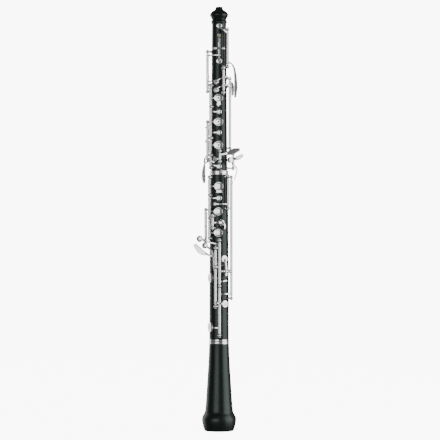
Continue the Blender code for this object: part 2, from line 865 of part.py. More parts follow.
def make_left_hand_levers():
    upright_posts("trill_lever_posts", *TRILL_LEVER_ROD, (429.6, 378))
    ball_end = arm(
        [polar(-80, TRILL_LEVER_ROD[1], height(421.7)), polar(-84, 19.6, height(421.7))],
        (2.2,),
        1.6,
    )
    tip = arm([polar(-80, TRILL_LEVER_ROD[1], height(405)), polar(-92, 19.6, height(402))], (2.2, 3.6), 1.5)
    long = arm(
        [
            polar(-80, TRILL_LEVER_ROD[1], height(384)),
            polar(-86, 20.0, height(379)),
            (-20.2, -5.0, height(371)),
            (-21.4, -6.0, height(362)),
            (-21.6, -6.2, height(353)),
            (-20.6, -6.2, height(344.6)),
        ],
        (2.2, 2.4, 2.8, 5.0, 6.0, 3.6),
        face=FRONT,
    )
    bridge = arm(
        [
            (-20.2, -5.6, height(371)),
            (-16.6, -12.4, height(374)),
            (-11.0, -15.4, height(375)),
            (-6.2, -16.2, height(372.6)),
        ],
        (2.4, 2.4, 2.6),
        1.3,
    )
    key("trill_lever", TRILL_LEVER_ROD, (380.8, 426.8), [ball_end, tip, long, bridge], -1, 5)

    upright_posts("g_sharp_posts", *G_SHARP_ROD, (388.8, 374.6))
    z = height(378.0)
    level = tone_hole(-28, z, 3.6, 2.2)
    to_pad = arm(
        [
            polar(4, G_SHARP_ROD[1], z),
            polar(-10, 15.8, z),
            polar(-22, 14.6, z),
            polar(-28, level + CUP_HEIGHT - 0.3, z),
        ],
        (2.4,),
    )
    leaf = arm(
        [
            polar(4, G_SHARP_ROD[1] + 0.5, height(383.6)),
            (8.5, -18.4, height(384.8)),
            (15.0, -18.4, height(386.8)),
            (22.0, -17.0, height(389.2)),
            (29.0, -14.6, height(391.2)),
        ],
        (2.8, 3.4, 6.4, 8.2, 4.2),
        1.4,
        face=FRONT,
    )
    key("g_sharp_key", G_SHARP_ROD, (377.5, 385.9), [cup(-28, z, 3.6, level), to_pad, leaf], 1, 5)

    upright_posts("left_pinky_posts", *PINKY_ROD, (384.6, 365.2))
    low_end = height(349)
    b_touch = plate(Vector((15.0, -13.6, height(376.4))), Vector((0.5, -1, 0)), oval(8.6, 8.8), 1.3)
    b_arm = arm(
        [polar(73, PINKY_ROD[1], height(371)), (18.4, -10.4, height(373)), (15.4, -13.6, height(375.6))],
        (2.4, 2.8, 4.0),
    )
    b_foot = arm(
        [
            polar(73, PINKY_ROD[1], height(370)),
            (24.8, -4.8, height(365.4)),
            (23.6, -3.4, height(357)),
            (21.4, -2.4, low_end),
        ],
        (2.4, 2.2, 3.0),
    )
    key("left_b_lever", PINKY_ROD, (368, 374.9), [b_touch, b_arm, b_foot], -1, 5)
    leaf = arm(
        [
            polar(73, PINKY_ROD[1], height(378.8)),
            (22.6, -9.4, height(378.2)),
            (27.4, -11.4, height(380.0)),
            (33.0, -12.4, height(383.6)),
        ],
        (2.6, 4.6, 6.8, 4.2),
        1.4,
        face=FRONT,
    )
    key("left_e_flat_lever", PINKY_ROD, (375.3, 381.8), [leaf], 1, 5)


# Lower joint keywork.

LOWER_STACK = (-52, LOWER_ROD_RADIUS)
FORKED_ROD = (47, LOWER_ROD_RADIUS)
F_ROD = (-31, LOWER_ROD_RADIUS + 0.4)
LEFT_F_ROD = (-80, LOWER_ROD_RADIUS + 1.6)
ROD_A = (-15.5, LONG_ROD_RADIUS)
ROD_B = (2, LONG_ROD_RADIUS)
RIGHT_ROD = (71, LONG_ROD_RADIUS)
BELOW_RODS = LONG_ROD_RADIUS - TUBE_RADIUS - 2.0


def make_lower_stack():
    upright_posts("lower_stack_posts", *LOWER_STACK, (352.6, 327.8, 296, 268))

    def touch(crown):
        return plate(
            facing(0.5, height(332.6), crown - 0.2),
            Vector((0, -1, 0)),
            ((-4.4, -1.8), (4.4, -1.8), (3.6, 2.4), (-3.6, 2.4)),
            1.2,
            0.3,
        )

    def touch_neck(crown):
        return arm(
            [facing(0, height(339), crown - 0.4), facing(0.3, height(334), crown - 0.1)],
            (3.6,),
            1.2,
        )

    stack_key(
        "f_sharp_key",
        LOWER_STACK,
        (330.7, 349.7),
        (0, 340.0, 4.9, 3.0),
        face=oval(12.4, 12.4),
        extras=(touch_neck, touch),
    )
    stack_key("f_sharp_vent_key", LOWER_STACK, (316.4, 324.9), (0, 323.6, 4.2, 2.6))
    drop = oval(11.2, 11.2, tail=1.6, tail_angle=180)
    stack_key("e_key", LOWER_STACK, (298.9, 316.0), (0, 305.2, 4.8, 3.2), face=drop)
    stack_key("d_key", LOWER_STACK, (270.9, 293.1), (0, 275.7, 4.8, 3.4), face=drop)

    upright_posts("forked_f_posts", *FORKED_ROD, (353.6, 309.6))
    stack_key(
        "forked_f_vent_key",
        FORKED_ROD,
        (312.5, 350.7),
        (-24, 315.4, 3.0, 2.0),
        opens=1,
        start_z=315.4,
        bow=2.4,
    )

    upright_posts("f_key_posts", *F_ROD, (299.0, 282.2))
    z = height(289.7)
    level = tone_hole(14, z, 4.6, 3.0)
    crown = level + CUP_HEIGHT
    to_pad = arm(
        [polar(-31, F_ROD[1], z), polar(-15, 17.2, z), polar(0, 16.2, z), polar(14, crown - 0.3, z)],
        (2.6, 2.4, 3.4),
    )
    hook = arm(
        [
            polar(14, crown - 0.3, z),
            polar(26, crown + 0.6, height(288.4)),
            polar(33, crown + 0.9, height(284.4)),
            polar(28, crown + 1.0, height(280.6)),
        ],
        (3.0, 3.2, 2.8, 2.2),
        1.3,
    )
    key("f_key", F_ROD, (285.1, 296.1), [cup(14, z, 4.6, level), to_pad, hook], -1, 5)

    upright_posts("left_f_posts", *LEFT_F_ROD, (307.6, 263.0))
    reach = arm(
        [
            polar(-80, LEFT_F_ROD[1], height(284)),
            polar(-72, 21.0, height(285)),
            polar(-60, 21.4, height(286)),
        ],
        (2.2, 2.0, 2.6),
        1.3,
    )
    tail = arm([polar(-80, LEFT_F_ROD[1], height(301)), polar(-94, 20.4, height(302))], (2.2, 3.2), 1.3)
    key("left_f_lever", LEFT_F_ROD, (265.9, 304.7), [reach, tail], -1, 5)


def big_cup(angle, standard, pad_radius, hole_radius):
    """A tone hole and the cup over it, with the cup's height and crown level."""
    z = height(standard)
    level = tone_hole(angle, z, pad_radius, hole_radius)
    return cup(angle, z, pad_radius, level), z, level + CUP_HEIGHT


def make_low_keys():
    upright_posts("rod_a_posts", *ROD_A, (254.4, 228, 173.6))
    upright_posts("rod_b_posts", *ROD_B, (265.2, 201.9, 133.2))

    leaf = arm(
        [
            (-17.4, -17.0, height(246.6)),
            (-22.5, -15.6, height(247.8)),
            (-28.5, -13.6, height(252.4)),
            (-34.2, -11.0, height(259.6)),
        ],
        (4.0, 7.6, 8.4, 5.0),
        1.5,
        face=Vector((-0.3, -1, 0)),
    )
    e_arm = arm(
        [
            polar(-15.5, LONG_ROD_RADIUS + 0.6, height(243)),
            polar(-28, 20.6, height(243.4)),
            (-14.0, -17.6, height(244.6)),
            (-18.6, -16.8, height(246.8)),
        ],
        (2.4, 2.4, 3.6),
    )
    foot = arm(
        [
            polar(-15.5, LONG_ROD_RADIUS, height(233.4)),
            polar(-8, BELOW_RODS + 1.0, height(232)),
            polar(3, BELOW_RODS, height(230.6)),
            polar(24, BELOW_RODS, height(230.3)),
        ],
        (2.4,),
        1.1,
    )
    key("right_e_flat_lever", ROD_A, (230.9, 251.5), [leaf, e_arm, foot], -1, 4)

    pad, z, crown = big_cup(38, 176.7, 5.6, 4.4)
    above = LONG_ROD_RADIUS + TUBE_RADIUS + 1.6
    c_arm = arm(
        [
            polar(-15.5, LONG_ROD_RADIUS + 0.6, z + 3),
            polar(-6, above, z + 2),
            polar(8, above, z + 1),
            polar(24, above - 2.2, z),
            polar(38, crown - 0.3, z),
        ],
        (2.6, 2.6, 3.4),
    )
    spur = arm(
        [
            polar(-15.5, LONG_ROD_RADIUS, height(222)),
            polar(-27, 16.6, height(226)),
            polar(-31, 15.6, height(238)),
            polar(-38, 16.6, height(250)),
            (-17.6, -12.6, height(257)),
        ],
        (2.4, 2.4, 2.4, 3.4),
        1.3,
    )
    touch = plate(Vector((-19.4, -12.2, height(258))), Vector((-0.4, -1, 0)), oval(8.8, 8.6), 1.4)
    key("c_sharp_key", ROD_A, (176.5, 225.1), [pad, c_arm, spur, touch], -1, 4)

    pad, z, crown = big_cup(-68, 212.6, 6.8, 4.8)
    c_arm = arm(
        [
            polar(2, LONG_ROD_RADIUS, z),
            polar(-8, BELOW_RODS + 0.9, z),
            polar(-18, BELOW_RODS + 0.5, z),
            polar(-40, crown + 0.3, z),
            polar(-68, crown - 0.2, z),
        ],
        (2.6, 2.4, 3.4),
        1.2,
    )
    c_reach = arm(
        [
            polar(2, LONG_ROD_RADIUS + 0.4, height(259)),
            polar(-12, 19.6, height(260.4)),
            (-14.0, -17.4, height(262.6)),
            (-24.0, -13.4, height(266.8)),
        ],
        (2.6, 2.6, 3.6),
    )
    touch = plate(Vector((-26.3, -12.2, height(267.2))), Vector((-0.4, -1, 0)), oval(9.2, 9.0), 1.4)
    tail = arm(
        [
            polar(2, LONG_ROD_RADIUS, height(208)),
            polar(18, 18.4, height(208.6)),
            polar(36, 18.6, height(209.4)),
        ],
        (2.4, 2.2, 3.0),
    )
    key("low_c_key", ROD_B, (204.8, 262.3), [pad, c_arm, c_reach, touch, tail], 1, 4, stands_open=True)

    pad, z, crown = big_cup(-68, 144.0, 7.2, 5.4)
    b_arm = arm(
        [
            polar(2, LONG_ROD_RADIUS, z),
            polar(-18, LONG_ROD_RADIUS - 0.9, z),
            polar(-44, crown + 0.3, z),
            polar(-68, crown - 0.2, z),
        ],
        (2.8, 2.6, 3.6),
        1.4,
    )
    tail = arm(
        [
            polar(2, LONG_ROD_RADIUS + 0.4, height(190.9)),
            polar(24, 19.6, height(190.9)),
            polar(46, 21.4, height(190.9)),
        ],
        (2.6, 2.4, 3.4),
    )
    key("low_b_key", ROD_B, (136.1, 199.0), [pad, b_arm, tail], 1, 4, stands_open=True)

    hinge = LONG_ROD_RADIUS
    pad, z, crown = big_cup(34, 239.2, 5.6, 4.0)
    cross_posts("e_flat_posts", 34, hinge, 222.3, 5.0)
    lever = arm(
        [
            polar(34, crown - 0.3, z),
            polar(34, hinge - 0.6, height(231)),
            polar(34, hinge, height(222.3)),
            polar(34, hinge - 0.4, height(215.6)),
        ],
        (3.4, 2.8, 3.0, 3.6),
    )
    cross_key("e_flat_key", 34, hinge, 222.3, 2.2, [pad, lever], 1, 4)

    upright_posts("right_rod_posts", *RIGHT_ROD, (352.6, 184.6))
    foot = arm(
        [
            polar(71, LONG_ROD_RADIUS, height(190.8)),
            polar(60, 18.3, height(190.8)),
            polar(48, 17.6, height(190.9)),
        ],
        (2.4, 2.2, 3.2),
        1.3,
    )
    top = arm([polar(71, LONG_ROD_RADIUS, height(346)), polar(80, 19.8, height(345))], (2.4, 3.4), 1.3)
    key("right_link", RIGHT_ROD, (187.5, 349.7), [foot, top], 1, 4)


clear_scene()
LOOKS = all_materials()
make_upper_stack()
make_trill_keys()
make_side_keys()
make_octave_keys()
make_left_hand_levers()
make_lower_stack()
make_low_keys()
make_thumb_rest()
make_vents()
make_bell()
make_lower_joint()
make_upper_joint()
make_fittings()
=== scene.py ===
# %% [markdown]
# An oboe is three turned pieces of very dark wood that plug into each other, and some fifty pieces of
# silvered keywork hung on them. The solid model already holds every piece in its place, so this lesson only
# adds the finish: truly round turned parts, softened forgings, springs, pads and the materials.

# %% Load the solid model
import json
import math

import bmesh
import bpy
import numpy as np
from mathutils import Matrix, Vector

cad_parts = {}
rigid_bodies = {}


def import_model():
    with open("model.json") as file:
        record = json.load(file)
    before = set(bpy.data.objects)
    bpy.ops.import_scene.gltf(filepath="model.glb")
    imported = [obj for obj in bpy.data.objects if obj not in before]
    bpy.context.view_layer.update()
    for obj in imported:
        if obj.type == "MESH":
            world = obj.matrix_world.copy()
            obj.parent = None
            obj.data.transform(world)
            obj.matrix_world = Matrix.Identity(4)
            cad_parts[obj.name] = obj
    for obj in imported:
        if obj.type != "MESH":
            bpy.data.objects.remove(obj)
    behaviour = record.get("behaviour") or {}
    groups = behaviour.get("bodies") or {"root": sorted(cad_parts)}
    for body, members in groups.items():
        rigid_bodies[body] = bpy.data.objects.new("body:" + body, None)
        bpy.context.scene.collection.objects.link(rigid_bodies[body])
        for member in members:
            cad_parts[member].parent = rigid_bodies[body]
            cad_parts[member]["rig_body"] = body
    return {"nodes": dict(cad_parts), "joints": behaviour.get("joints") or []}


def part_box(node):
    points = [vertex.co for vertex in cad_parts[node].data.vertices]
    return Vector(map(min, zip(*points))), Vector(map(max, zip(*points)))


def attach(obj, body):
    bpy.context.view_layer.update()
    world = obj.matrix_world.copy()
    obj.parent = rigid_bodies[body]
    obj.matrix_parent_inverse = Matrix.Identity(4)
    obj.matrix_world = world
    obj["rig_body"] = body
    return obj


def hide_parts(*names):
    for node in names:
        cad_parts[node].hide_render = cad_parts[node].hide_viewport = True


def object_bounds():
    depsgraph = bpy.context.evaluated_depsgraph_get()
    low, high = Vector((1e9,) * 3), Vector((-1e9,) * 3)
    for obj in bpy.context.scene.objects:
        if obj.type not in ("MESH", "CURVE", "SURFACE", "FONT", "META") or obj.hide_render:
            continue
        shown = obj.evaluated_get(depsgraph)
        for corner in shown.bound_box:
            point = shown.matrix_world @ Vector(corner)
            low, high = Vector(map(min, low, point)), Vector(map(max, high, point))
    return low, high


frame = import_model()
CAD_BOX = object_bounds()
MM = 0.001
UP = Vector((0, 0, 1))

# %% [markdown]
# A material is a graph of nodes. Two small classes write it: `Graph.node` makes a node and sets its options
# first, then its sockets. It returns a `Wire`, which stands for a socket, so `0.2 + mask * 0.5` adds two
# Math nodes.

# %% A wrapper for sockets


class Wire:
    def __init__(self, graph, socket):
        self.graph = graph
        self.socket = socket

    def combine(self, operation, first, second):
        kind = "ShaderNodeMath"
        return self.graph.node(kind, {"operation": operation}, {0: first, 1: second})

    def __add__(self, other):
        return self.combine("ADD", self, other)

    def __mul__(self, other):
        return self.combine("MULTIPLY", self, other)

    __radd__ = __add__
    __rmul__ = __mul__


class Graph:
    def __init__(self, tree):
        self.tree = tree

    def node(self, kind, options=None, sockets=None, output=0):
        made = self.tree.nodes.new(kind)
        for name, value in (options or {}).items():
            if name == "stops":
                self.set_stops(made.color_ramp, value)
            else:
                setattr(made, name, value)
        for name, value in (sockets or {}).items():
            if isinstance(value, Wire):
                self.tree.links.new(value.socket, made.inputs[name])
            else:
                made.inputs[name].default_value = value
        return Wire(self, made.outputs[output]) if made.outputs else made

    def set_stops(self, ramp, stops):
        while len(ramp.elements) < len(stops):
            ramp.elements.new(0.5)
        for element, (place, color) in zip(ramp.elements, stops):
            element.position = place
            element.color = color


# %% [markdown]
# The shader graph of every finish ends in one Principled BSDF. `finish` makes it, with the patterned values
# on its sockets as wires and the constant ones set as numbers. Patterns read Object coordinates, which are
# metres here.

# %% Helpers for finishes


def pattern(graph, scale, detail=3.0, stretch=(1, 1, 1)):
    """Noise on object coordinates: scale is features per metre, stretch shrinks it along an axis."""
    place = graph.node("ShaderNodeTexCoord", output=3)
    sized = graph.node("ShaderNodeMapping", sockets={"Vector": place, "Scale": stretch})
    return graph.node("ShaderNodeTexNoise", sockets={"Vector": sized, "Scale": scale, "Detail": detail})


def ramp(graph, value, stops):
    return graph.node("ShaderNodeValToRGB", {"stops": stops}, {"Fac": value})


def bump(graph, height, strength, distance):
    return graph.node(
        "ShaderNodeBump",
        sockets={"Height": height, "Strength": strength, "Distance": distance},
    )


def finish(name, build, constants):
    made = bpy.data.materials.new(name)
    made.use_nodes = True
    made.node_tree.nodes.clear()
    graph = Graph(made.node_tree)
    sockets = build(graph)
    sockets.update(constants)
    shader = graph.node("ShaderNodeBsdfPrincipled", sockets=sockets)
    graph.node("ShaderNodeOutputMaterial", sockets={"Surface": shader})
    print("finish:", name, len(made.node_tree.nodes), "nodes")
    return made


def grey(level, tint=(1.0, 1.0, 1.0)):
    return (level * tint[0], level * tint[1], level * tint[2], 1.0)


# %% [markdown]
# The wood is African blackwood, oiled and buffed. It is nearly black with a cool cast, and its grain only
# shows as hair-thin streaks along the bore, a little browner and a little rougher than the rest. So noises
# stretched along the bore drive colour, roughness and a very shallow bump, and a broad one makes the oil
# uneven.

# %% Blackwood


def blackwood(graph):
    streaks = pattern(graph, 900, 5.0, (1, 1, 0.03))
    pores = pattern(graph, 3200, 2.0, (1, 1, 0.05))
    oil = pattern(graph, 40, 3.0)
    color = ramp(
        graph,
        streaks,
        [
            (0.30, grey(0.0022, (0.5, 1.15, 1.0))),
            (0.55, grey(0.0045, (0.6, 1.1, 1.0))),
            (0.78, grey(0.012, (1.25, 1.0, 0.8))),
        ],
    )
    depth = pores * 0.6 + streaks * 0.4
    return {
        "Base Color": color,
        "Roughness": 0.24 + oil * 0.10 + pores * 0.10,
        "Normal": bump(graph, depth, 0.35, 0.00004),
    }


WOOD = finish("blackwood_oiled", blackwood, {"IOR": 1.5, "Specular Tint": (0.80, 0.96, 0.92, 1.0)})

# %% [markdown]
# The keys are nickel silver with a polished silver plate. Plate that is handled is never an even mirror: it
# has faint buffing lines, cloudy fingered patches and a warmer tarnish where nobody wipes it.

# %% Silver plate


def silver_plate(graph):
    cloud = pattern(graph, 130, 4.0)
    lines = pattern(graph, 2600, 2.0, (1, 1, 0.12))
    tarnish = ramp(
        graph,
        cloud,
        [(0.38, grey(0.93, (1.0, 1.0, 1.01))), (0.72, grey(0.78, (1.0, 0.985, 0.95)))],
    )
    return {
        "Base Color": tarnish,
        "Roughness": 0.06 + cloud * 0.08 + lines * 0.05,
        "Normal": bump(graph, lines + cloud * 0.5, 0.12, 0.00003),
    }


SILVER = finish("silver_plate", silver_plate, {"Metallic": 1.0})


def ring_metal(graph):
    turned_lines = pattern(graph, 5200, 2.0, (0.02, 0.02, 1))
    cloud = pattern(graph, 160, 3.0)
    return {
        "Base Color": ramp(graph, cloud, [(0.35, grey(0.92)), (0.75, grey(0.80, (1.0, 0.98, 0.95)))]),
        "Roughness": 0.10 + turned_lines * 0.12,
        "Normal": bump(graph, turned_lines, 0.25, 0.00002),
    }


RING = finish("turned_ring_plate", ring_metal, {"Metallic": 1.0})

# %% [markdown]
# Four small finishes are left: blued spring wire, bare nickel silver for the vents, pale skin for the pads
# and waxed cork on the tenons.

# %% Small finishes


def blued_steel(graph):
    heat = pattern(graph, 400, 2.0)
    return {
        "Base Color": ramp(graph, heat, [(0.3, (0.05, 0.07, 0.16, 1)), (0.7, (0.12, 0.13, 0.17, 1))]),
        "Roughness": 0.22 + heat * 0.15,
    }


def bare_metal(graph):
    cloud = pattern(graph, 700, 3.0)
    return {
        "Base Color": ramp(graph, cloud, [(0.3, (0.62, 0.55, 0.40, 1)), (0.7, (0.50, 0.45, 0.34, 1))]),
        "Roughness": 0.20 + cloud * 0.20,
    }


def pad_skin(graph):
    wrinkle = pattern(graph, 1500, 4.0)
    return {
        "Base Color": ramp(graph, wrinkle, [(0.3, (0.80, 0.74, 0.60, 1)), (0.7, (0.68, 0.60, 0.46, 1))]),
        "Roughness": 0.5 + wrinkle * 0.2,
        "Normal": bump(graph, wrinkle, 0.3, 0.00005),
    }


def waxed_cork(graph):
    grains = pattern(graph, 900, 5.0)
    specks = pattern(graph, 2600, 2.0)
    color = ramp(
        graph,
        grains * 0.7 + specks * 0.3,
        [(0.36, (0.16, 0.08, 0.035, 1)), (0.48, (0.52, 0.34, 0.18, 1)), (0.66, (0.68, 0.49, 0.29, 1))],
    )
    return {
        "Base Color": color,
        "Roughness": 0.62 + specks * 0.25,
        "Normal": bump(graph, grains, 0.5, 0.0002),
    }


BLUED = finish("blued_spring_steel", blued_steel, {"Metallic": 1.0})
BARE = finish("bare_nickel_silver", bare_metal, {"Metallic": 1.0})
SKIN = finish("pad_skin", pad_skin, {"Subsurface Weight": 0.1, "Subsurface Scale": 0.001})
CORK = finish("waxed_cork", waxed_cork, {})

# %% [markdown]
# The solid model's wood has flat facets. The same profiles are turned again here on a fine lathe, a hundred
# and twenty steps round, and ringed every few millimetres so that the cuts for the tone holes stay neat.
# The joint line and the ends are read from the frame; the radii are the instrument's own.

# %% Where the wood starts and ends
BELL_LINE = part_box("bell_ring")[1].z + 0.15 * MM
MIDDLE_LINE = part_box("middle_ring")[1].z + 0.15 * MM
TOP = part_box("reed_well_liner")[1].z
UPPER_TOP, UPPER_FOOT, LOWER_TOP, LOWER_FOOT = 10.0, 11.5, 12.7, 13.7
BELL_RIM = 24.0
FINIAL = 13.0
GAP = 0.3
TENON = 22.0
print(
    "joint lines at",
    round(BELL_LINE / MM, 1),
    round(MIDDLE_LINE / MM, 1),
    "top",
    round(TOP / MM, 1),
    "mm",
)


def between(z, low, high, at_low, at_high):
    return at_low + (z - low) / (high - low) * (at_high - at_low)


def wood_radius(z):
    """Outside radius in millimetres at a height in millimetres."""
    line = MIDDLE_LINE / MM
    if z >= line:
        return between(z, line, TOP / MM, UPPER_FOOT, UPPER_TOP)
    return between(z, BELL_LINE / MM, line, LOWER_FOOT, LOWER_TOP)


def polar(angle, radius, z):
    """A point in millimetres, its angle in degrees from the front towards the right."""
    turn = math.radians(angle)
    return Vector((radius * math.sin(turn), -radius * math.cos(turn), z))


# %% [markdown]
# A smooth profile needs few points: a Catmull-Rom curve is read through the ones marked as soft, and
# corners stay sharp. `revolve` then spins the profile about any axis into one closed skin.

# %% Turning


def soft(points, steps=6):
    """A smooth curve through the points, as (distance, radius) pairs."""
    line = [np.array(p, float) for p in points]
    line = [2 * line[0] - line[1], *line, 2 * line[-1] - line[-2]]
    curve = []
    for a, b, c, d in zip(line, line[1:], line[2:], line[3:]):
        for i in range(steps):
            t = i / steps
            square, cube = 2 * a - 5 * b + 4 * c - d, 3 * b - a - 3 * c + d
            curve.append(0.5 * (2 * b + (c - a) * t + square * t**2 + cube * t**3))
    curve.append(line[-2])
    return [tuple(p) for p in curve]


def divided(start, end, step=3.0):
    """Points every few millimetres from start towards end, leaving the end out."""
    count = max(1, round(abs(end[0] - start[0]) / step))
    return [tuple(np.array(start) + (np.array(end) - np.array(start)) * i / count) for i in range(count)]


def new_object(name, mesh, finish_used, sharp=32):
    mesh.materials.clear()
    mesh.materials.append(finish_used)
    mesh.shade_smooth()
    mesh.set_sharp_from_angle(angle=math.radians(sharp))
    obj = bpy.data.objects.new(name, mesh)
    bpy.context.scene.collection.objects.link(obj)
    return obj


def frame_about(axis):
    axis = axis.normalized()
    across = axis.cross(UP if abs(axis.z) < 0.9 else Vector((1, 0, 0))).normalized()
    return across, axis.cross(across), axis


def skin(rings, loop):
    """Faces between rings of points, closed into a loop or with a cap on each end."""
    count = len(rings[0])
    made = bmesh.new()
    verts = [[made.verts.new(p * MM) for p in ring] for ring in rings]
    pairs = list(zip(verts, verts[1:])) + ([(verts[-1], verts[0])] if loop else [])
    for low, high in pairs:
        for j in range(count):
            k = (j + 1) % count
            made.faces.new((low[j], low[k], high[k], high[j]))
    if not loop:
        made.faces.new(verts[0])
        made.faces.new(list(reversed(verts[-1])))
    bmesh.ops.recalc_face_normals(made, faces=made.faces)
    mesh = bpy.data.meshes.new("turned")
    made.to_mesh(mesh)
    made.free()
    return mesh


def revolve(profile, sides=120, centre=Vector((0, 0, 0)), axis=UP, loop=True):
    """Spins (distance along the axis, radius) points, in millimetres."""
    across, along, axis = frame_about(axis)
    turns = [2 * math.pi * i / sides for i in range(sides)]
    spokes = [across * math.cos(t) + along * math.sin(t) for t in turns]
    return skin([[centre + axis * d + s * r for s in spokes] for d, r in profile], loop)


# %% [markdown]
# Every tone hole is a small flat seat milled across the round wood, with a hole down into the bore. The
# list gives each key's hole as an angle, a height, the radius of its pad and the radius of the hole. The
# same list places the cups and pads later on, so a pad always lands on its own seat. The two vents have an
# angle, a height and the radius of their insert.

# %% Tone holes
TONE_HOLES = {
    "half_hole_key": (0, 462.5, 4.2, 1.6),
    "c_key": (0, 443.4, 3.9, 1.8),
    "a_key": (0, 429.5, 4.6, 2.1),
    "b_flat_key": (0, 414.6, 3.9, 2.1),
    "g_key": (0, 397.2, 4.6, 2.4),
    "bridge_key": (0, 367.6, 3.9, 2.4),
    "upper_trill_key": (0, 563.0, 4.0, 1.6),
    "lower_trill_key": (0, 514.0, 4.2, 1.6),
    "side_c_key": (-20, 484.8, 3.6, 2.0),
    "side_b_flat_key": (-20, 473.6, 3.8, 2.0),
    "side_octave_key": (112, 479.0, 2.8, 1.0),
    "g_sharp_key": (-28, 378.0, 3.6, 2.2),
    "f_sharp_key": (0, 340.0, 4.9, 3.0),
    "f_sharp_vent_key": (0, 323.6, 4.2, 2.6),
    "e_key": (0, 305.2, 4.8, 3.2),
    "d_key": (0, 275.7, 4.8, 3.4),
    "forked_f_vent_key": (-24, 315.4, 3.0, 2.0),
    "f_key": (14, 289.7, 4.6, 3.0),
    "c_sharp_key": (38, 176.7, 5.6, 4.4),
    "low_c_key": (-68, 212.6, 6.8, 4.8),
    "low_b_key": (-68, 144.0, 7.2, 5.4),
    "e_flat_key": (34, 239.2, 5.6, 4.0),
}
VENTS = {"trill_vent": (0, 549.5, 2.6), "thumb_octave_vent": (180, 492.0, 2.2)}
VENT_LIP = 0.5
SEAT_MARGIN, SEAT_RELIEF = 0.6, 0.2
SEAT_EASE = 0.4


def seat_level(z, pad_radius):
    reach = pad_radius + SEAT_MARGIN
    return math.sqrt(wood_radius(z) ** 2 - reach**2) - SEAT_RELIEF


def cutter(mesh):
    obj = bpy.data.objects.new("cutter", mesh)
    bpy.context.scene.collection.objects.link(obj)
    return obj


def bored(obj, cutters):
    """Cuts everything in one Boolean and throws the cutters away."""
    group = bpy.data.collections.new("cuts")
    for item in cutters:
        group.objects.link(item)
    step = obj.modifiers.new("cuts", "BOOLEAN")
    step.operation = "DIFFERENCE"
    step.operand_type = "COLLECTION"
    step.collection = group
    step.solver = "EXACT"
    graph = bpy.context.evaluated_depsgraph_get()
    mesh = bpy.data.meshes.new_from_object(obj.evaluated_get(graph))
    obj.modifiers.clear()
    obj.data = mesh
    for item in cutters:
        bpy.data.objects.remove(item)
    bpy.data.collections.remove(group)
    mesh.shade_smooth()
    mesh.set_sharp_from_angle(angle=math.radians(32))
    return obj


def hole_cutters(low, high):
    """The seat and the hole of every key whose tone hole lies between these heights."""
    made = []
    for angle, z, pad_radius, hole_radius in TONE_HOLES.values():
        if not low < z < high:
            continue
        level = seat_level(z, pad_radius)
        out, foot = polar(angle, 1, 0), Vector((0, 0, z))
        rim, wall = hole_radius + 0.7, pad_radius + SEAT_MARGIN + SEAT_EASE
        seat = [
            (level - 0.35, rim),
            (level - 0.35, wall),
            (level + 6, wall),
            (level + 6, 0.02),
            (level, 0.02),
            (level, rim),
        ]
        made.append(cutter(revolve(seat, 40, foot, out)))
        made.append(cutter(revolve([(0.2, hole_radius), (level + 1, hole_radius)], 32, foot, out, False)))
    return made


# %% [markdown]
# The three joints follow. The finial at the top is a turned knob over a bead, the lower joint ends in two
# ringed collars, and the bell flares slowly, swells sharply near its foot and turns in again to the rim.

# %% The three wooden joints


def stand_for(obj, node):
    """The piece takes over from a solid node, and moves with the node's body."""
    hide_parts(node)
    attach(obj, frame["nodes"][node]["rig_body"])
    return obj


def make_upper_joint():
    top, line = TOP / MM, MIDDLE_LINE / MM
    well, tenon, foot = 4.3, 7.6, line - TENON
    knob = soft(
        [
            (top - 0.3, well + 0.5),
            (top - 2.4, well + 0.85),
            (top - 4.2, 6.0),
            (top - 5.7, 8.6),
            (top - 8.4, 11.6),
            (top - 11.2, FINIAL),
            (top - 14.2, 11.9),
            (top - 16.6, 10.3),
            (top - 18.0, 9.8),
        ]
    )
    bead = soft(
        [(top - 18.2, 9.7), (top - 19.3, 10.5), (top - 21.2, 11.1), (top - 22.8, 10.5), (top - 23.4, 10.15)]
    )
    profile = [(top - 0.3, well), *knob, *bead]
    profile += divided((top - 24.0, UPPER_TOP), (line + 0.15, UPPER_FOOT))
    profile += [
        (line + 0.4, UPPER_FOOT),
        (line + 0.15, UPPER_FOOT - 0.25),
        (line + 0.15, tenon),
        (line - 3, tenon),
        (line - 3, tenon - 0.6),
    ]
    profile += [
        (foot + 3, tenon - 0.6),
        (foot + 3, tenon),
        (foot + 0.3, tenon),
        (foot, tenon - 0.3),
        (foot, 4.9),
    ]
    profile += divided((foot + 0.5, 4.9), (top - 20.3, 2.3)) + [(top - 20.3, 2.3), (top - 20.3, well)]
    obj = new_object("upper_joint_wood", revolve(profile), WOOD)
    cuts = hole_cutters(line, top)
    for angle, z, radius in VENTS.values():
        out, centre = polar(angle, 1, 0), Vector((0, 0, z))
        cuts.append(cutter(revolve([(4.5, radius + 0.15), (14, radius + 0.15)], 32, centre, out, False)))
        cuts.append(cutter(revolve([(0.2, 0.8), (5, 0.8)], 16, centre, out, False)))
    return stand_for(bored(obj, cuts), "upper_joint")


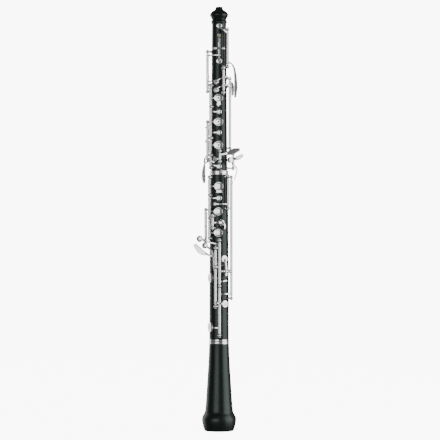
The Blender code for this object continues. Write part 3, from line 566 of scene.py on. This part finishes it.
def make_lower_joint():
    line, bell = MIDDLE_LINE / MM, BELL_LINE / MM
    socket, tenon, foot = 8.5, 10.0, bell - TENON
    collar, foot_collar = LOWER_TOP - 1.3, LOWER_FOOT - 1.1
    profile = [
        (line - 0.15, socket),
        (line - 0.15, collar),
        (line - 6.3, collar),
        (line - 6.3, LOWER_TOP - 0.25),
        (line - 6.6, LOWER_TOP),
    ]
    profile += divided((line - 7, LOWER_TOP), (bell + 3.9, LOWER_FOOT))
    profile += [
        (bell + 3.9, LOWER_FOOT),
        (bell + 3.6, LOWER_FOOT - 0.2),
        (bell + 3.6, foot_collar),
        (bell + 0.15, foot_collar),
        (bell + 0.15, tenon),
    ]
    profile += [
        (bell - 3, tenon),
        (bell - 3, tenon - 0.6),
        (foot + 3, tenon - 0.6),
        (foot + 3, tenon),
        (foot + 0.3, tenon),
        (foot, tenon - 0.3),
        (foot, 7.8),
    ]
    profile += divided((foot + 0.5, 7.8), (line - TENON - 0.3, 4.9)) + [
        (line - TENON - 0.3, 4.9),
        (line - TENON - 0.3, socket),
    ]
    obj = new_object("lower_joint_wood", revolve(profile), WOOD)
    return stand_for(bored(obj, hole_cutters(bell, line)), "lower_joint")


def make_bell():
    line = BELL_LINE / MM
    collar = LOWER_FOOT - 1.1
    outside = soft(
        [
            (line - 3.7, 13.9),
            (101.2, 14.6),
            (81.7, 15.7),
            (62.2, 16.95),
            (42.7, 18.2),
            (30.5, 19.2),
            (25.6, 20.2),
            (21.6, 22.3),
            (18.1, 23.7),
            (14.4, BELL_RIM - 0.1),
            (8.4, 22.8),
            (3.0, 21.3),
        ]
    )
    rim = soft([(1.1, 20.6), (0.25, 19.9), (0.0, 19.2)], 4)
    inside = soft(
        [
            (0.0, 17.6),
            (0.5, 17.1),
            (4.0, 16.3),
            (14.0, 14.4),
            (40.0, 11.8),
            (70.0, 9.9),
            (line - TENON - 0.3, 8.4),
        ]
    )
    profile = [(line - 0.15, collar), (line - 3.3, collar), (line - 3.3, 13.7), *outside, *rim, *inside]
    profile += [(line - TENON - 0.3, 10.9), (line - 0.15, 10.9)]
    return stand_for(new_object("bell_wood", revolve(profile, 144), WOOD), "bell")


for make in (make_upper_joint, make_lower_joint, make_bell):
    made = make()
    print(made.name, len(made.data.polygons), "faces")

# %% [markdown]
# Rings, the reed well's liner and the corks are plain sleeves in the solid model. Here they get what a ring
# maker gives them: eased edges, two turned grooves on a wide ring, and a slight barrel on the cork where it
# is compressed.

# %% Rings, liner and corks
RING_WALL = 1.0


def make_sleeve(node, used, outline, sides=120):
    obj = new_object(node + "_turned", revolve(outline, sides), used, 28)
    return stand_for(obj, node)


def sleeve_walls(node):
    """The lowest and highest height and the outer radius of a sleeve node, in millimetres."""
    low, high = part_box(node)
    return low.z / MM, high.z / MM, high.y / MM


def ring_outline(low, high, inner, outer, grooves):
    crown = outer - 0.12
    points = [(low, inner), (low, outer - 0.4), (low + 0.12, crown - 0.06), (low + 0.4, crown)]
    for groove in grooves:
        points += [
            (groove - 0.22, outer - 0.02),
            (groove - 0.1, outer - 0.22),
            (groove + 0.1, outer - 0.22),
            (groove + 0.22, outer - 0.02),
        ]
    points += [(high - 0.4, crown), (high - 0.12, crown - 0.06), (high, outer - 0.4), (high, inner)]
    return points


def make_fittings():
    for node in ("middle_ring", "lower_joint_ring", "bell_ring"):
        low, high, outer = sleeve_walls(node)
        width = high - low
        grooves = (low + 0.9, high - 0.9) if width > 4 else (low + width / 2,)
        make_sleeve(node, RING, ring_outline(low, high, outer - RING_WALL, outer, grooves))
    low, high, outer = sleeve_walls("reed_well_liner")
    lip = [
        (low, outer - 0.6),
        (low, outer),
        (high - 0.15, outer),
        (high, outer - 0.15),
        (high, outer - 0.45),
        (high - 0.3, outer - 0.6),
    ]
    make_sleeve("reed_well_liner", RING, lip, 64)
    for node, inner in (("upper_tenon_cork", 7.3), ("bell_tenon_cork", 9.7)):
        low, high, outer = sleeve_walls(node)
        barrel = soft(
            [
                (low, outer - 0.5),
                (low + 1.2, outer - 0.1),
                ((low + high) / 2, outer),
                (high - 1.2, outer - 0.1),
                (high, outer - 0.5),
            ]
        )
        make_sleeve(node, CORK, [(low, inner), *barrel, (high, inner)])


make_fittings()

# %% [markdown]
# A key is forged and filed by hand, so its arms melt into its tube with a soft fillet of silver solder, and
# it has no machined edge. A copy of each solid key is remeshed into small even faces and relaxed, which
# rounds every edge by a few tenths of a millimetre. The solid's own mesh is loose triangles, so the copy is
# merged first.

# %% Forgings
VOXEL = 0.27 * MM
RELAX_ROUNDS = 7


def welded_copy(node):
    mesh = frame["nodes"][node].data.copy()
    merged = bmesh.new()
    merged.from_mesh(mesh)
    bmesh.ops.remove_doubles(merged, verts=merged.verts, dist=0.002 * MM)
    merged.to_mesh(mesh)
    merged.free()
    return mesh


def forged(node, voxel=VOXEL, rounds=RELAX_ROUNDS):
    """A smooth, evenly meshed copy of a solid node."""
    obj = bpy.data.objects.new(node + "_copy", welded_copy(node))
    bpy.context.scene.collection.objects.link(obj)
    even = obj.modifiers.new("even", "REMESH")
    even.mode = "VOXEL"
    even.voxel_size = voxel
    relax = obj.modifiers.new("relax", "SMOOTH")
    relax.factor = 0.5
    relax.iterations = rounds
    graph = bpy.context.evaluated_depsgraph_get()
    mesh = bpy.data.meshes.new_from_object(obj.evaluated_get(graph))
    bpy.data.objects.remove(obj)
    return mesh


def hinge_of(node):
    """The joint that turns a key: a point on its axis in millimetres, the axis, and its range in degrees."""
    for joint in frame["joints"]:
        if joint["child"] == node and joint["type"] == "hinge":
            return Vector(joint["pos_m"]) / MM, Vector(joint["axis"]), joint["range_deg"]
    return None


KEYS = [joint["child"] for joint in frame["joints"] if joint["type"] == "hinge"]


def make_forging(node):
    obj = new_object(node + "_forging", forged(node), SILVER, 180)
    return stand_for(obj, node)


faces = 0
for node in KEYS:
    faces += len(make_forging(node).data.polygons)
make_forging("thumb_rest")
print(len(KEYS), "keys,", faces, "faces")

# %% [markdown]
# A hinge tube is drawn on a lathe, so it has to be truly round. Its place is measured from the solid key:
# the points that lie exactly one tube radius from the hinge axis mark its two ends. Each tube gets a
# bevelled end and, on a long one, a pair of fine turned lines.

# %% Hinge tubes
TUBE = 1.9
TUBE_BORE = 1.3


def node_points(node):
    mesh = frame["nodes"][node].data
    points = np.empty(len(mesh.vertices) * 3, np.float32)
    mesh.vertices.foreach_get("co", points)
    return points.reshape(-1, 3).astype(float) / MM


def along_and_off(points, origin, axis):
    """How far each point lies along an axis, and how far off it."""
    arms = points - np.array(origin)
    along = arms @ np.array(axis)
    return along, np.linalg.norm(arms - along[:, None] * np.array(axis), axis=1)


def tube_ends(node):
    origin, axis, _ = hinge_of(node)
    along, off = along_and_off(node_points(node), origin, axis)
    on_tube = along[np.abs(off - TUBE) < 0.01]
    return origin, axis, float(on_tube.min()), float(on_tube.max())


def make_tube(node):
    origin, axis, low, high = tube_ends(node)
    skin_radius = TUBE + 0.03
    outline = [(low, TUBE_BORE), (low, skin_radius - 0.25), (low + 0.25, skin_radius)]
    if high - low > 9:
        for place in (low + 1.6, high - 1.6):
            outline += [
                (place - 0.14, skin_radius),
                (place, skin_radius - 0.12),
                (place + 0.14, skin_radius),
            ]
    outline += [(high - 0.25, skin_radius), (high, skin_radius - 0.25), (high, TUBE_BORE)]
    obj = new_object(node + "_tube", revolve(outline, 32, origin, axis), SILVER, 28)
    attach(obj, node)
    return high - low


lengths = {node: round(make_tube(node), 1) for node in KEYS}
print("hinge tubes in mm:", lengths)

# %% [markdown]
# Each pad is a disc of felt and card in pale skin, pressed into a domed cup with a thin rolled rim. The
# keys that stand open were turned away from their holes by the far end of their joint's range, so their
# cups are turned too.

# %% Cups and pads
OPEN_KEYS = {
    "half_hole_key",
    "c_key",
    "a_key",
    "b_flat_key",
    "g_key",
    "bridge_key",
    "f_sharp_key",
    "f_sharp_vent_key",
}
OPEN_KEYS |= {"e_key", "d_key", "forked_f_vent_key", "low_c_key", "low_b_key"}
CUP = 2.3
PIERCED = {"half_hole_key": 1.0, "a_key": 1.0, "g_key": 1.0}


def rest_turn(node):
    """The matrix that carries a key from closed to where it stands at rest."""
    if node not in OPEN_KEYS:
        return Matrix.Identity(4)
    origin, axis, limits = hinge_of(node)
    closed = max(limits, key=abs)
    pivot = origin * MM
    turn = Matrix.Rotation(math.radians(-closed), 4, axis)
    return Matrix.Translation(pivot) @ turn @ Matrix.Translation(-pivot)


def place_on_key(name, mesh, node, used, sharp=30):
    mesh.transform(rest_turn(node))
    obj = new_object(name, mesh, used, sharp)
    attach(obj, node)
    return obj


def make_cup(node, angle, z, pad_radius, level):
    out, foot = polar(angle, 1, 0), Vector((0, 0, z))
    radius = pad_radius + 0.04
    rolled = [
        (level + 0.55, radius - 0.5),
        (level + 0.5, radius - 0.1),
        (level + 0.62, radius + 0.05),
        (level + 0.85, radius + 0.05),
        (level + 1.0, radius - 0.04),
    ]
    dome = soft(
        [
            (level + 1.45, radius - 0.06),
            (level + 1.95, radius * 0.84),
            (level + CUP + 0.06, radius * 0.5),
            (level + CUP + 0.14, 0.05),
        ]
    )
    hole = PIERCED.get(node, 0)
    if hole:
        dome = [point for point in dome if point[1] > hole] + [
            (level + CUP + 0.1, hole),
            (level + 0.55, hole),
        ]
    place_on_key(
        node + "_cup",
        revolve([*rolled, *dome], 56, foot, out, bool(hole)),
        node,
        SILVER,
    )
    pad = soft(
        [
            (level + 0.6, radius - 0.45),
            (level + 0.35, radius - 0.2),
            (level + 0.08, radius - 0.5),
            (level + 0.02, radius * 0.5),
            (level + 0.05, 0.05),
        ],
        4,
    )
    if hole:
        pad = [point for point in pad if point[1] > hole] + [(level + 0.05, hole), (level + 0.6, hole)]
    place_on_key(node + "_pad", revolve(pad, 48, foot, out, bool(hole)), node, SKIN, 60)


for node, (angle, z, pad_radius, _) in TONE_HOLES.items():
    make_cup(node, angle, z, pad_radius, seat_level(z, pad_radius) + GAP)
octave_angle, octave_z, _ = VENTS["thumb_octave_vent"]
make_cup("thumb_octave_key", octave_angle, octave_z, 3.0, wood_radius(octave_z) + VENT_LIP + GAP)
print("cups and pads:", len(TONE_HOLES) + 1)

# %% [markdown]
# The player's fingers land on plates. Each is a domed disc with a rolled rim, and five of them are drawn
# out to the left into a teardrop. The three plates that are pierced have a small vent through the middle,
# and there the disc is a ring. A plate is made of shrunken copies of its own outline, each a little higher
# than the last.

# %% Finger plates
DOME = [(0.9, -0.45), (1.0, -0.15), (1.01, 0.3), (0.985, 0.62), (0.93, 0.74), (0.87, 0.72), (0.8, 0.86)]
DOME += [(0.65, 1.08), (0.5, 1.24), (0.35, 1.34), (0.22, 1.39)]
VENT = 1.15


def oval(width, tall, tail=0.0, steps=64):
    """An ellipse drawn out to the left by a tail, as (sideways, upwards) points."""
    points = []
    for i in range(steps):
        turn = 2 * math.pi * i / steps
        reach = max(-math.cos(turn), 0.0) ** 3 * tail
        points.append((width / 2 * math.cos(turn) - reach, tall / 2 * math.sin(turn)))
    return points


def make_plate(node, centre, axis, outline, pierced=False):
    """A domed plate on a key. centre is the middle of the plate's solid at its crown."""
    axis = axis.normalized()
    across = UP.cross(axis).normalized()
    up = axis.cross(across)

    def ring(points, level):
        return [centre + across * u + up * v + axis * level for u, v in points]

    rings = [ring([(u * share, v * share) for u, v in outline], level) for share, level in DOME]
    middle, crown = (VENT, 1.32) if pierced else (0.03, 1.4)
    hole = oval(2 * middle, 2 * middle, steps=len(outline))
    rings = [ring(hole, -0.45), *rings, ring(hole, crown)]
    mesh = skin(rings, pierced)
    place_on_key(node + "_plate", mesh, node, SILVER, 50)


DROPS = {
    "half_hole_key": (oval(11.6, 11.0, 1.0), True),
    "a_key": (oval(11.6, 11.6, 1.6), True),
    "g_key": (oval(11.6, 11.6, 1.6), True),
    "f_sharp_key": (oval(12.4, 12.4), False),
    "e_key": (oval(11.2, 11.2, 1.6), False),
    "d_key": (oval(11.2, 11.2, 1.6), False),
}
for node, (outline, pierced) in DROPS.items():
    angle, z, pad_radius, _ = TONE_HOLES[node]
    crown = seat_level(z, pad_radius) + GAP + CUP
    make_plate(node, polar(angle, crown + 0.1, z), polar(angle, 1, 0), outline, pierced)
TOUCHES = {
    "c_sharp_key": (Vector((-19.4, -12.2, 258)), Vector((-0.4, -1, 0)), oval(8.9, 8.7)),
    "low_c_key": (Vector((-26.3, -12.2, 267.2)), Vector((-0.4, -1, 0)), oval(9.3, 9.1)),
    "left_b_lever": (Vector((15.0, -13.6, 376.4)), Vector((0.5, -1, 0)), oval(8.7, 8.9)),
    "thumb_octave_key": (Vector((0, 14.2, 458)), Vector((0, 1, 0)), oval(12.1, 20.1)),
}
for node, (centre, axis, outline) in TOUCHES.items():
    make_plate(node, centre + axis.normalized() * 0.5, axis, outline)
print("finger plates:", len(DROPS) + len(TOUCHES))

# %% [markdown]
# Two vents are let into the wood, one at the front for the trill and one at the back for the octave. Each
# is a turned insert of bare metal with a raised lip and a fine hole.

# %% Vents


def make_vent(node, angle, z, radius):
    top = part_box(node)
    out, foot = polar(angle, 1, 0), Vector((0, 0, z))
    lift = max(abs(top[0].y), abs(top[1].y)) / MM
    sink = min(abs(top[0].y), abs(top[1].y)) / MM
    outline = [
        (sink, 0.6),
        (sink, radius),
        (lift - 0.3, radius),
        (lift, radius - 0.25),
        (lift, radius - 0.7),
        (lift - 0.35, radius - 1.0),
        (lift - 0.35, 0.95),
        (lift - 0.7, 0.6),
    ]
    stand_for(new_object(node + "_insert", revolve(outline, 48, foot, out), BARE, 30), node)


for node, place in VENTS.items():
    make_vent(node, *place)

# %% [markdown]
# Every rod is carried by turned posts screwed into the wood: a ball drilled for the rod, a tapering stem
# and a foot flange. One Geometry Nodes tree makes a post wherever it is given a point, so all posts share
# the same sizes, and only the stem's length follows the wood. Blued needle springs come from a second use
# of the same idea.

# %% Posts and springs, by Geometry Nodes


class Tree:
    """A Geometry Nodes tree with one geometry in and out, and named sizes."""

    def __init__(self, name, sizes):
        self.group = bpy.data.node_groups.new(name, "GeometryNodeTree")
        face = self.group.interface
        face.new_socket("Geometry", in_out="INPUT", socket_type="NodeSocketGeometry")
        face.new_socket("Geometry", in_out="OUTPUT", socket_type="NodeSocketGeometry")
        self.sockets = {}
        for label in sizes:
            self.sockets[label] = face.new_socket(
                label,
                in_out="INPUT",
                socket_type="NodeSocketFloat",
            ).identifier
        self.sockets["Finish"] = face.new_socket(
            "Finish",
            in_out="INPUT",
            socket_type="NodeSocketMaterial",
        ).identifier
        self.source = self.group.nodes.new("NodeGroupInput")

    def node(self, kind, inputs=(), **settings):
        made = self.group.nodes.new(kind)
        for key, value in settings.items():
            setattr(made, key, value)
        for label, value in dict(inputs).items():
            socket = made.inputs[label]
            if isinstance(value, bpy.types.NodeSocket):
                self.group.links.new(value, socket)
            else:
                socket.default_value = value
        return made

    def size(self, label):
        return self.source.outputs[label]

    def times(self, value, factor):
        return self.node("ShaderNodeMath", {0: value, 1: factor}, operation="MULTIPLY").outputs[0]

    def attribute(self, name, kind):
        return self.node(
            "GeometryNodeInputNamedAttribute",
            {"Name": name},
            data_type=kind,
        ).outputs["Attribute"]

    def close(self, pieces):
        joined = self.node("GeometryNodeJoinGeometry")
        for piece in pieces:
            self.group.links.new(piece, joined.inputs[0])
        real = self.node("GeometryNodeRealizeInstances", {"Geometry": joined.outputs[0]})
        painted = self.node(
            "GeometryNodeSetMaterial",
            {"Geometry": real.outputs[0], "Material": self.size("Finish")},
        )
        self.node("NodeGroupOutput", {"Geometry": painted.outputs[0]})


def turned_along(tree, points, mesh, direction, scale):
    aligned = tree.node(
        "FunctionNodeAlignRotationToVector",
        {"Vector": direction},
        axis="Z",
    ).outputs["Rotation"]
    inputs = {"Points": points, "Instance": mesh, "Rotation": aligned, "Scale": scale}
    return tree.node("GeometryNodeInstanceOnPoints", inputs).outputs["Instances"]


def post_tree():
    tree = Tree("turned_posts", ["Ball", "Stem", "Foot", "Flange"])
    out, stem = tree.attribute("out", "FLOAT_VECTOR"), tree.attribute("stem", "FLOAT")
    heads = tree.source.outputs["Geometry"]
    back = tree.node(
        "ShaderNodeVectorMath",
        {0: out, "Scale": tree.times(stem, -1)},
        operation="SCALE",
    ).outputs["Vector"]
    feet = tree.node("GeometryNodeSetPosition", {"Geometry": heads, "Offset": back}).outputs[0]
    ball = tree.node(
        "GeometryNodeMeshUVSphere",
        {"Segments": 28, "Rings": 18, "Radius": tree.size("Ball")},
    ).outputs["Mesh"]
    sizes = {
        "Vertices": 24,
        "Radius Top": tree.times(tree.size("Stem"), 0.8),
        "Radius Bottom": tree.times(tree.size("Stem"), 1.2),
        "Depth": 1.0,
    }
    column = tree.node("GeometryNodeMeshCone", sizes).outputs["Mesh"]
    sizes = {
        "Vertices": 28,
        "Radius Top": tree.times(tree.size("Foot"), 0.72),
        "Radius Bottom": tree.size("Foot"),
        "Depth": tree.size("Flange"),
    }
    flange = tree.node("GeometryNodeMeshCone", sizes).outputs["Mesh"]
    stretch = tree.node("ShaderNodeCombineXYZ", {"X": 1.0, "Y": 1.0, "Z": stem}).outputs[0]
    even = (1.0, 1.0, 1.0)
    tree.close([
        turned_along(tree, heads, ball, out, even),
        turned_along(tree, feet, column, out, stretch),
        turned_along(tree, feet, flange, out, even),
    ])
    return tree


def needle_tree():
    tree = Tree("needle_springs", ["Thick", "Length"])
    sizes = {
        "Vertices": 8,
        "Radius Top": tree.times(tree.size("Thick"), 0.35),
        "Radius Bottom": tree.size("Thick"),
        "Depth": tree.size("Length"),
    }
    needle = tree.node("GeometryNodeMeshCone", sizes).outputs["Mesh"]
    tree.close(
        [
            turned_along(
                tree,
                tree.source.outputs["Geometry"],
                needle,
                tree.attribute("out", "FLOAT_VECTOR"),
                (1.0, 1.0, 1.0),
            )
        ]
    )
    return tree


def grown(name, tree, points, sizes, used):
    """The plain mesh that a tree makes on points, each a (place, direction, stem length) in millimetres."""
    mesh = bpy.data.meshes.new(name)
    mesh.from_pydata([place * MM for place, _, _ in points], [], [])
    out = mesh.attributes.new("out", "FLOAT_VECTOR", "POINT")
    out.data.foreach_set("vector", [c for _, direction, _ in points for c in direction])
    stem = mesh.attributes.new("stem", "FLOAT", "POINT")
    stem.data.foreach_set("value", [length * MM for _, _, length in points])
    obj = bpy.data.objects.new(name, mesh)
    bpy.context.scene.collection.objects.link(obj)
    step = obj.modifiers.new("grow", "NODES")
    step.node_group = tree.group
    for label, value in sizes.items():
        step[tree.sockets[label]] = value * MM
    step[tree.sockets["Finish"]] = used
    graph = bpy.context.evaluated_depsgraph_get()
    result = bpy.data.meshes.new_from_object(obj.evaluated_get(graph))
    bpy.data.objects.remove(obj)
    return result


POST_SIZES = {"Ball": 2.5, "Stem": 1.2, "Foot": 2.1, "Flange": 0.8}
NEEDLE_SIZES = {"Thick": 0.26, "Length": 13.0}
POSTS, NEEDLES = post_tree(), needle_tree()
print("trees:", len(POSTS.group.nodes), "and", len(NEEDLES.group.nodes), "nodes")

# %% [markdown]
# A rod runs through the balls of its posts, and each end shows as a slotted screw in the outer face of its
# post. A rod across the wood takes its place from the hinge of its key.

# %% Rods
RODS = {
    "upper_stack_posts": (-51, 15.5, (480.2, 450.6, 407, 383.4, 366)),
    "upper_trill_posts": (50, 15.5, (557.3, 506)),
    "trill_link_posts": (-77, 16.5, (527.2, 472)),
    "side_key_posts": (24, 15.5, (504, 470.2)),
    "side_octave_posts": (68, 16.3, (489.6, 393)),
    "trill_lever_posts": (-80, 16.3, (429.6, 378)),
    "g_sharp_posts": (4, 16.1, (388.8, 374.6)),
    "left_pinky_posts": (73, 20.5, (384.6, 365.2)),
    "lower_stack_posts": (-52, 17.2, (352.6, 327.8, 296, 268)),
    "forked_f_posts": (47, 17.2, (353.6, 309.6)),
    "f_key_posts": (-31, 17.6, (299.0, 282.2)),
    "left_f_posts": (-80, 18.8, (307.6, 263.0)),
    "rod_a_posts": (-15.5, 18.1, (254.4, 228, 173.6)),
    "rod_b_posts": (2, 18.1, (265.2, 201.9, 133.2)),
    "right_rod_posts": (71, 18.1, (352.6, 184.6)),
}
CROSS_RODS = {
    "lower_trill_posts": ("lower_trill_key", 0, 531.1, 5.6),
    "thumb_octave_posts": ("thumb_octave_key", 180, 480, 6.4),
    "e_flat_posts": ("e_flat_key", 34, 222.3, 5.0),
}


def slotted_screw():
    """A screw head 0.45 mm high with a slot across it, standing on the origin along +Z."""
    head = revolve([(-0.3, 0.01), (-0.3, 1.35), (0.3, 1.35), (0.45, 1.2), (0.45, 0.01)], 32, loop=False)
    slot = bmesh.new()
    bmesh.ops.create_cube(slot, size=1.0)
    bmesh.ops.scale(slot, vec=(4 * MM, 0.34 * MM, 0.5 * MM), verts=slot.verts)
    bmesh.ops.translate(slot, vec=(0, 0, 0.45 * MM), verts=slot.verts)
    blade = bpy.data.meshes.new("slot")
    slot.to_mesh(blade)
    slot.free()
    obj = bored(cutter(head), [cutter(blade)])
    mesh = obj.data
    bpy.data.objects.remove(obj)
    return mesh


SCREW = slotted_screw()


def joined(meshes):
    made = bmesh.new()
    for mesh in meshes:
        made.from_mesh(mesh)
    result = bpy.data.meshes.new("joined")
    made.to_mesh(result)
    made.free()
    return result


def screw_at(place, direction):
    mesh = SCREW.copy()
    mesh.transform(Matrix.Translation(place * MM) @ direction.to_track_quat("Z", "X").to_matrix().to_4x4())
    return mesh


def make_rod(node, heads, outs, stems):
    along = (heads[0] - heads[-1]).normalized()
    posts = grown(node, POSTS, list(zip(heads, outs, stems)), POST_SIZES, SILVER)
    steel = revolve([(0, 0.98), ((heads[0] - heads[-1]).length, 0.98)], 20, heads[-1], along, False)
    ends = [screw_at(heads[0] + along * 2.3, along), screw_at(heads[-1] - along * 2.3, -along)]
    stand_for(new_object(node + "_turned", joined([posts, steel, *ends]), SILVER, 40), node)


for node, (angle, radius, heights) in RODS.items():
    heads = [polar(angle, radius, z) for z in heights]
    stems = [radius - wood_radius(z) - GAP for z in heights]
    make_rod(node, heads, [polar(angle, 1, 0)] * len(heads), stems)
for node, (key_node, angle, z, half) in CROSS_RODS.items():
    out, origin = polar(angle, 1, 0), hinge_of(key_node)[0]
    middle, side = out * origin.dot(out) + UP * z, UP.cross(out)
    heads = [middle + side * half, middle - side * half]
    stem = origin.dot(out) - math.sqrt(wood_radius(z) ** 2 - (half - 1.2) ** 2) - GAP
    make_rod(node, heads, [out, out], [stem, stem])
print("rods:", len(RODS) + len(CROSS_RODS))

# %% [markdown]
# A needle spring runs beside its rod from each end post of a long rod, on the side towards the wood.

# %% Needle springs
SPRING_DEPTH = 2.95


def make_springs(name, body, names):
    points = []
    for node in names:
        angle, radius, heights = RODS[node]
        for start, towards in ((heights[0], -1), (heights[-1], 1)):
            points.append((polar(angle, radius - SPRING_DEPTH, start), UP * towards, 0.0))
    obj = new_object(name, grown(name, NEEDLES, points, NEEDLE_SIZES, BLUED), BLUED)
    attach(obj, body)
    return len(points)


sprung = {"upper_body": [], "lower_body": []}
for node in RODS:
    if RODS[node][2][0] - RODS[node][2][-1] > 2 * NEEDLE_SIZES["Length"]:
        sprung[frame["nodes"][node]["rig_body"]].append(node)
print("springs:", [make_springs(body + "_springs", body, names) for body, names in sprung.items()])

# %% [markdown]
# Silver and polished black wood show little but reflections, so the studio decides how they look. One broad
# soft box stands to the left behind the camera and another at the right, so a round piece gets a bright
# band on each side of a dark middle, and a narrow one stands at the back left. The floor and wall glow
# white, but they are kept out of the reflections, the bounced light and the shadows. That leaves every edge
# dark, and no shadow on the floor.

# %% Studio
STAGE_GLOW = 9.0
ROOM_GLOW = 0.16


def stage_finish(name, level):
    def build(graph):
        paper = pattern(graph, 60, 3.0)
        return {"Base Color": ramp(graph, paper, [(0.3, grey(level)), (0.7, grey(level * 0.985))])}

    glow = {"Emission Color": grey(1.0), "Emission Strength": STAGE_GLOW}
    return finish(name, build, {"Roughness": 0.9, "Specular IOR Level": 0.1, **glow})


def make_stage():
    """A round floor that curves up into a wall, wide enough to walk a camera all the way round."""
    run = [(0.01, 0.0), (2.3, 0.0), (4.6, 0.0), (5.4, 0.08), (6.0, 0.5), (6.3, 1.4), (6.4, 6.0)]
    turns = [2 * math.pi * i / 96 for i in range(96)]
    rings = [[Vector((r * math.cos(t), r * math.sin(t), z - 0.0002)) / MM for t in turns] for r, z in run]
    floor = new_object("studio_floor", skin(rings, False), stage_finish("white_paper", 0.93), 60)
    floor.visible_glossy = floor.visible_diffuse = floor.visible_shadow = False


def soft_box(name, place, target, size, power):
    light = bpy.data.lights.new(name, "AREA")
    light.shape = "RECTANGLE"
    light.size, light.size_y = size
    light.energy = power
    obj = bpy.data.objects.new(name, light)
    bpy.context.scene.collection.objects.link(obj)
    obj.location = place
    obj.rotation_euler = (Vector(target) - Vector(place)).to_track_quat("-Z", "Y").to_euler()


MIDDLE = (CAD_BOX[0][2] + CAD_BOX[1][2]) / 2


def make_lights():
    soft_box("left_soft_box", (-1.45, -3.3, MIDDLE + 0.1), (0, 0, MIDDLE), (2.5, 2.6), 46)
    soft_box("right_soft_box", (1.52, -0.5, MIDDLE + 0.1), (0, 0, MIDDLE), (1.7, 2.0), 32)
    soft_box("back_left_soft_box", (-1.35, 1.05, MIDDLE + 0.1), (0, 0, MIDDLE), (0.9, 1.9), 10)
    world = bpy.data.worlds.new("studio")
    bpy.context.scene.world = world
    world.use_nodes = True
    world.node_tree.nodes["Background"].inputs["Color"].default_value = grey(1.0)
    world.node_tree.nodes["Background"].inputs["Strength"].default_value = ROOM_GLOW


def make_camera():
    """A long lens level with the middle of the instrument, square to its front."""
    distance, seen, aside, height = 2.9, 0.6125, 0.0013, 0.2933
    data = bpy.data.cameras.new("camera")
    data.lens = data.sensor_width * distance / seen
    data.clip_end = 50
    camera = bpy.data.objects.new("camera", data)
    camera.location = (aside, -distance, height)
    camera.rotation_euler = (math.pi / 2, 0, 0)
    bpy.context.scene.collection.objects.link(camera)
    bpy.context.scene.camera = camera
    print("lens", round(data.lens, 1), "mm")


make_stage()
make_lights()
make_camera()
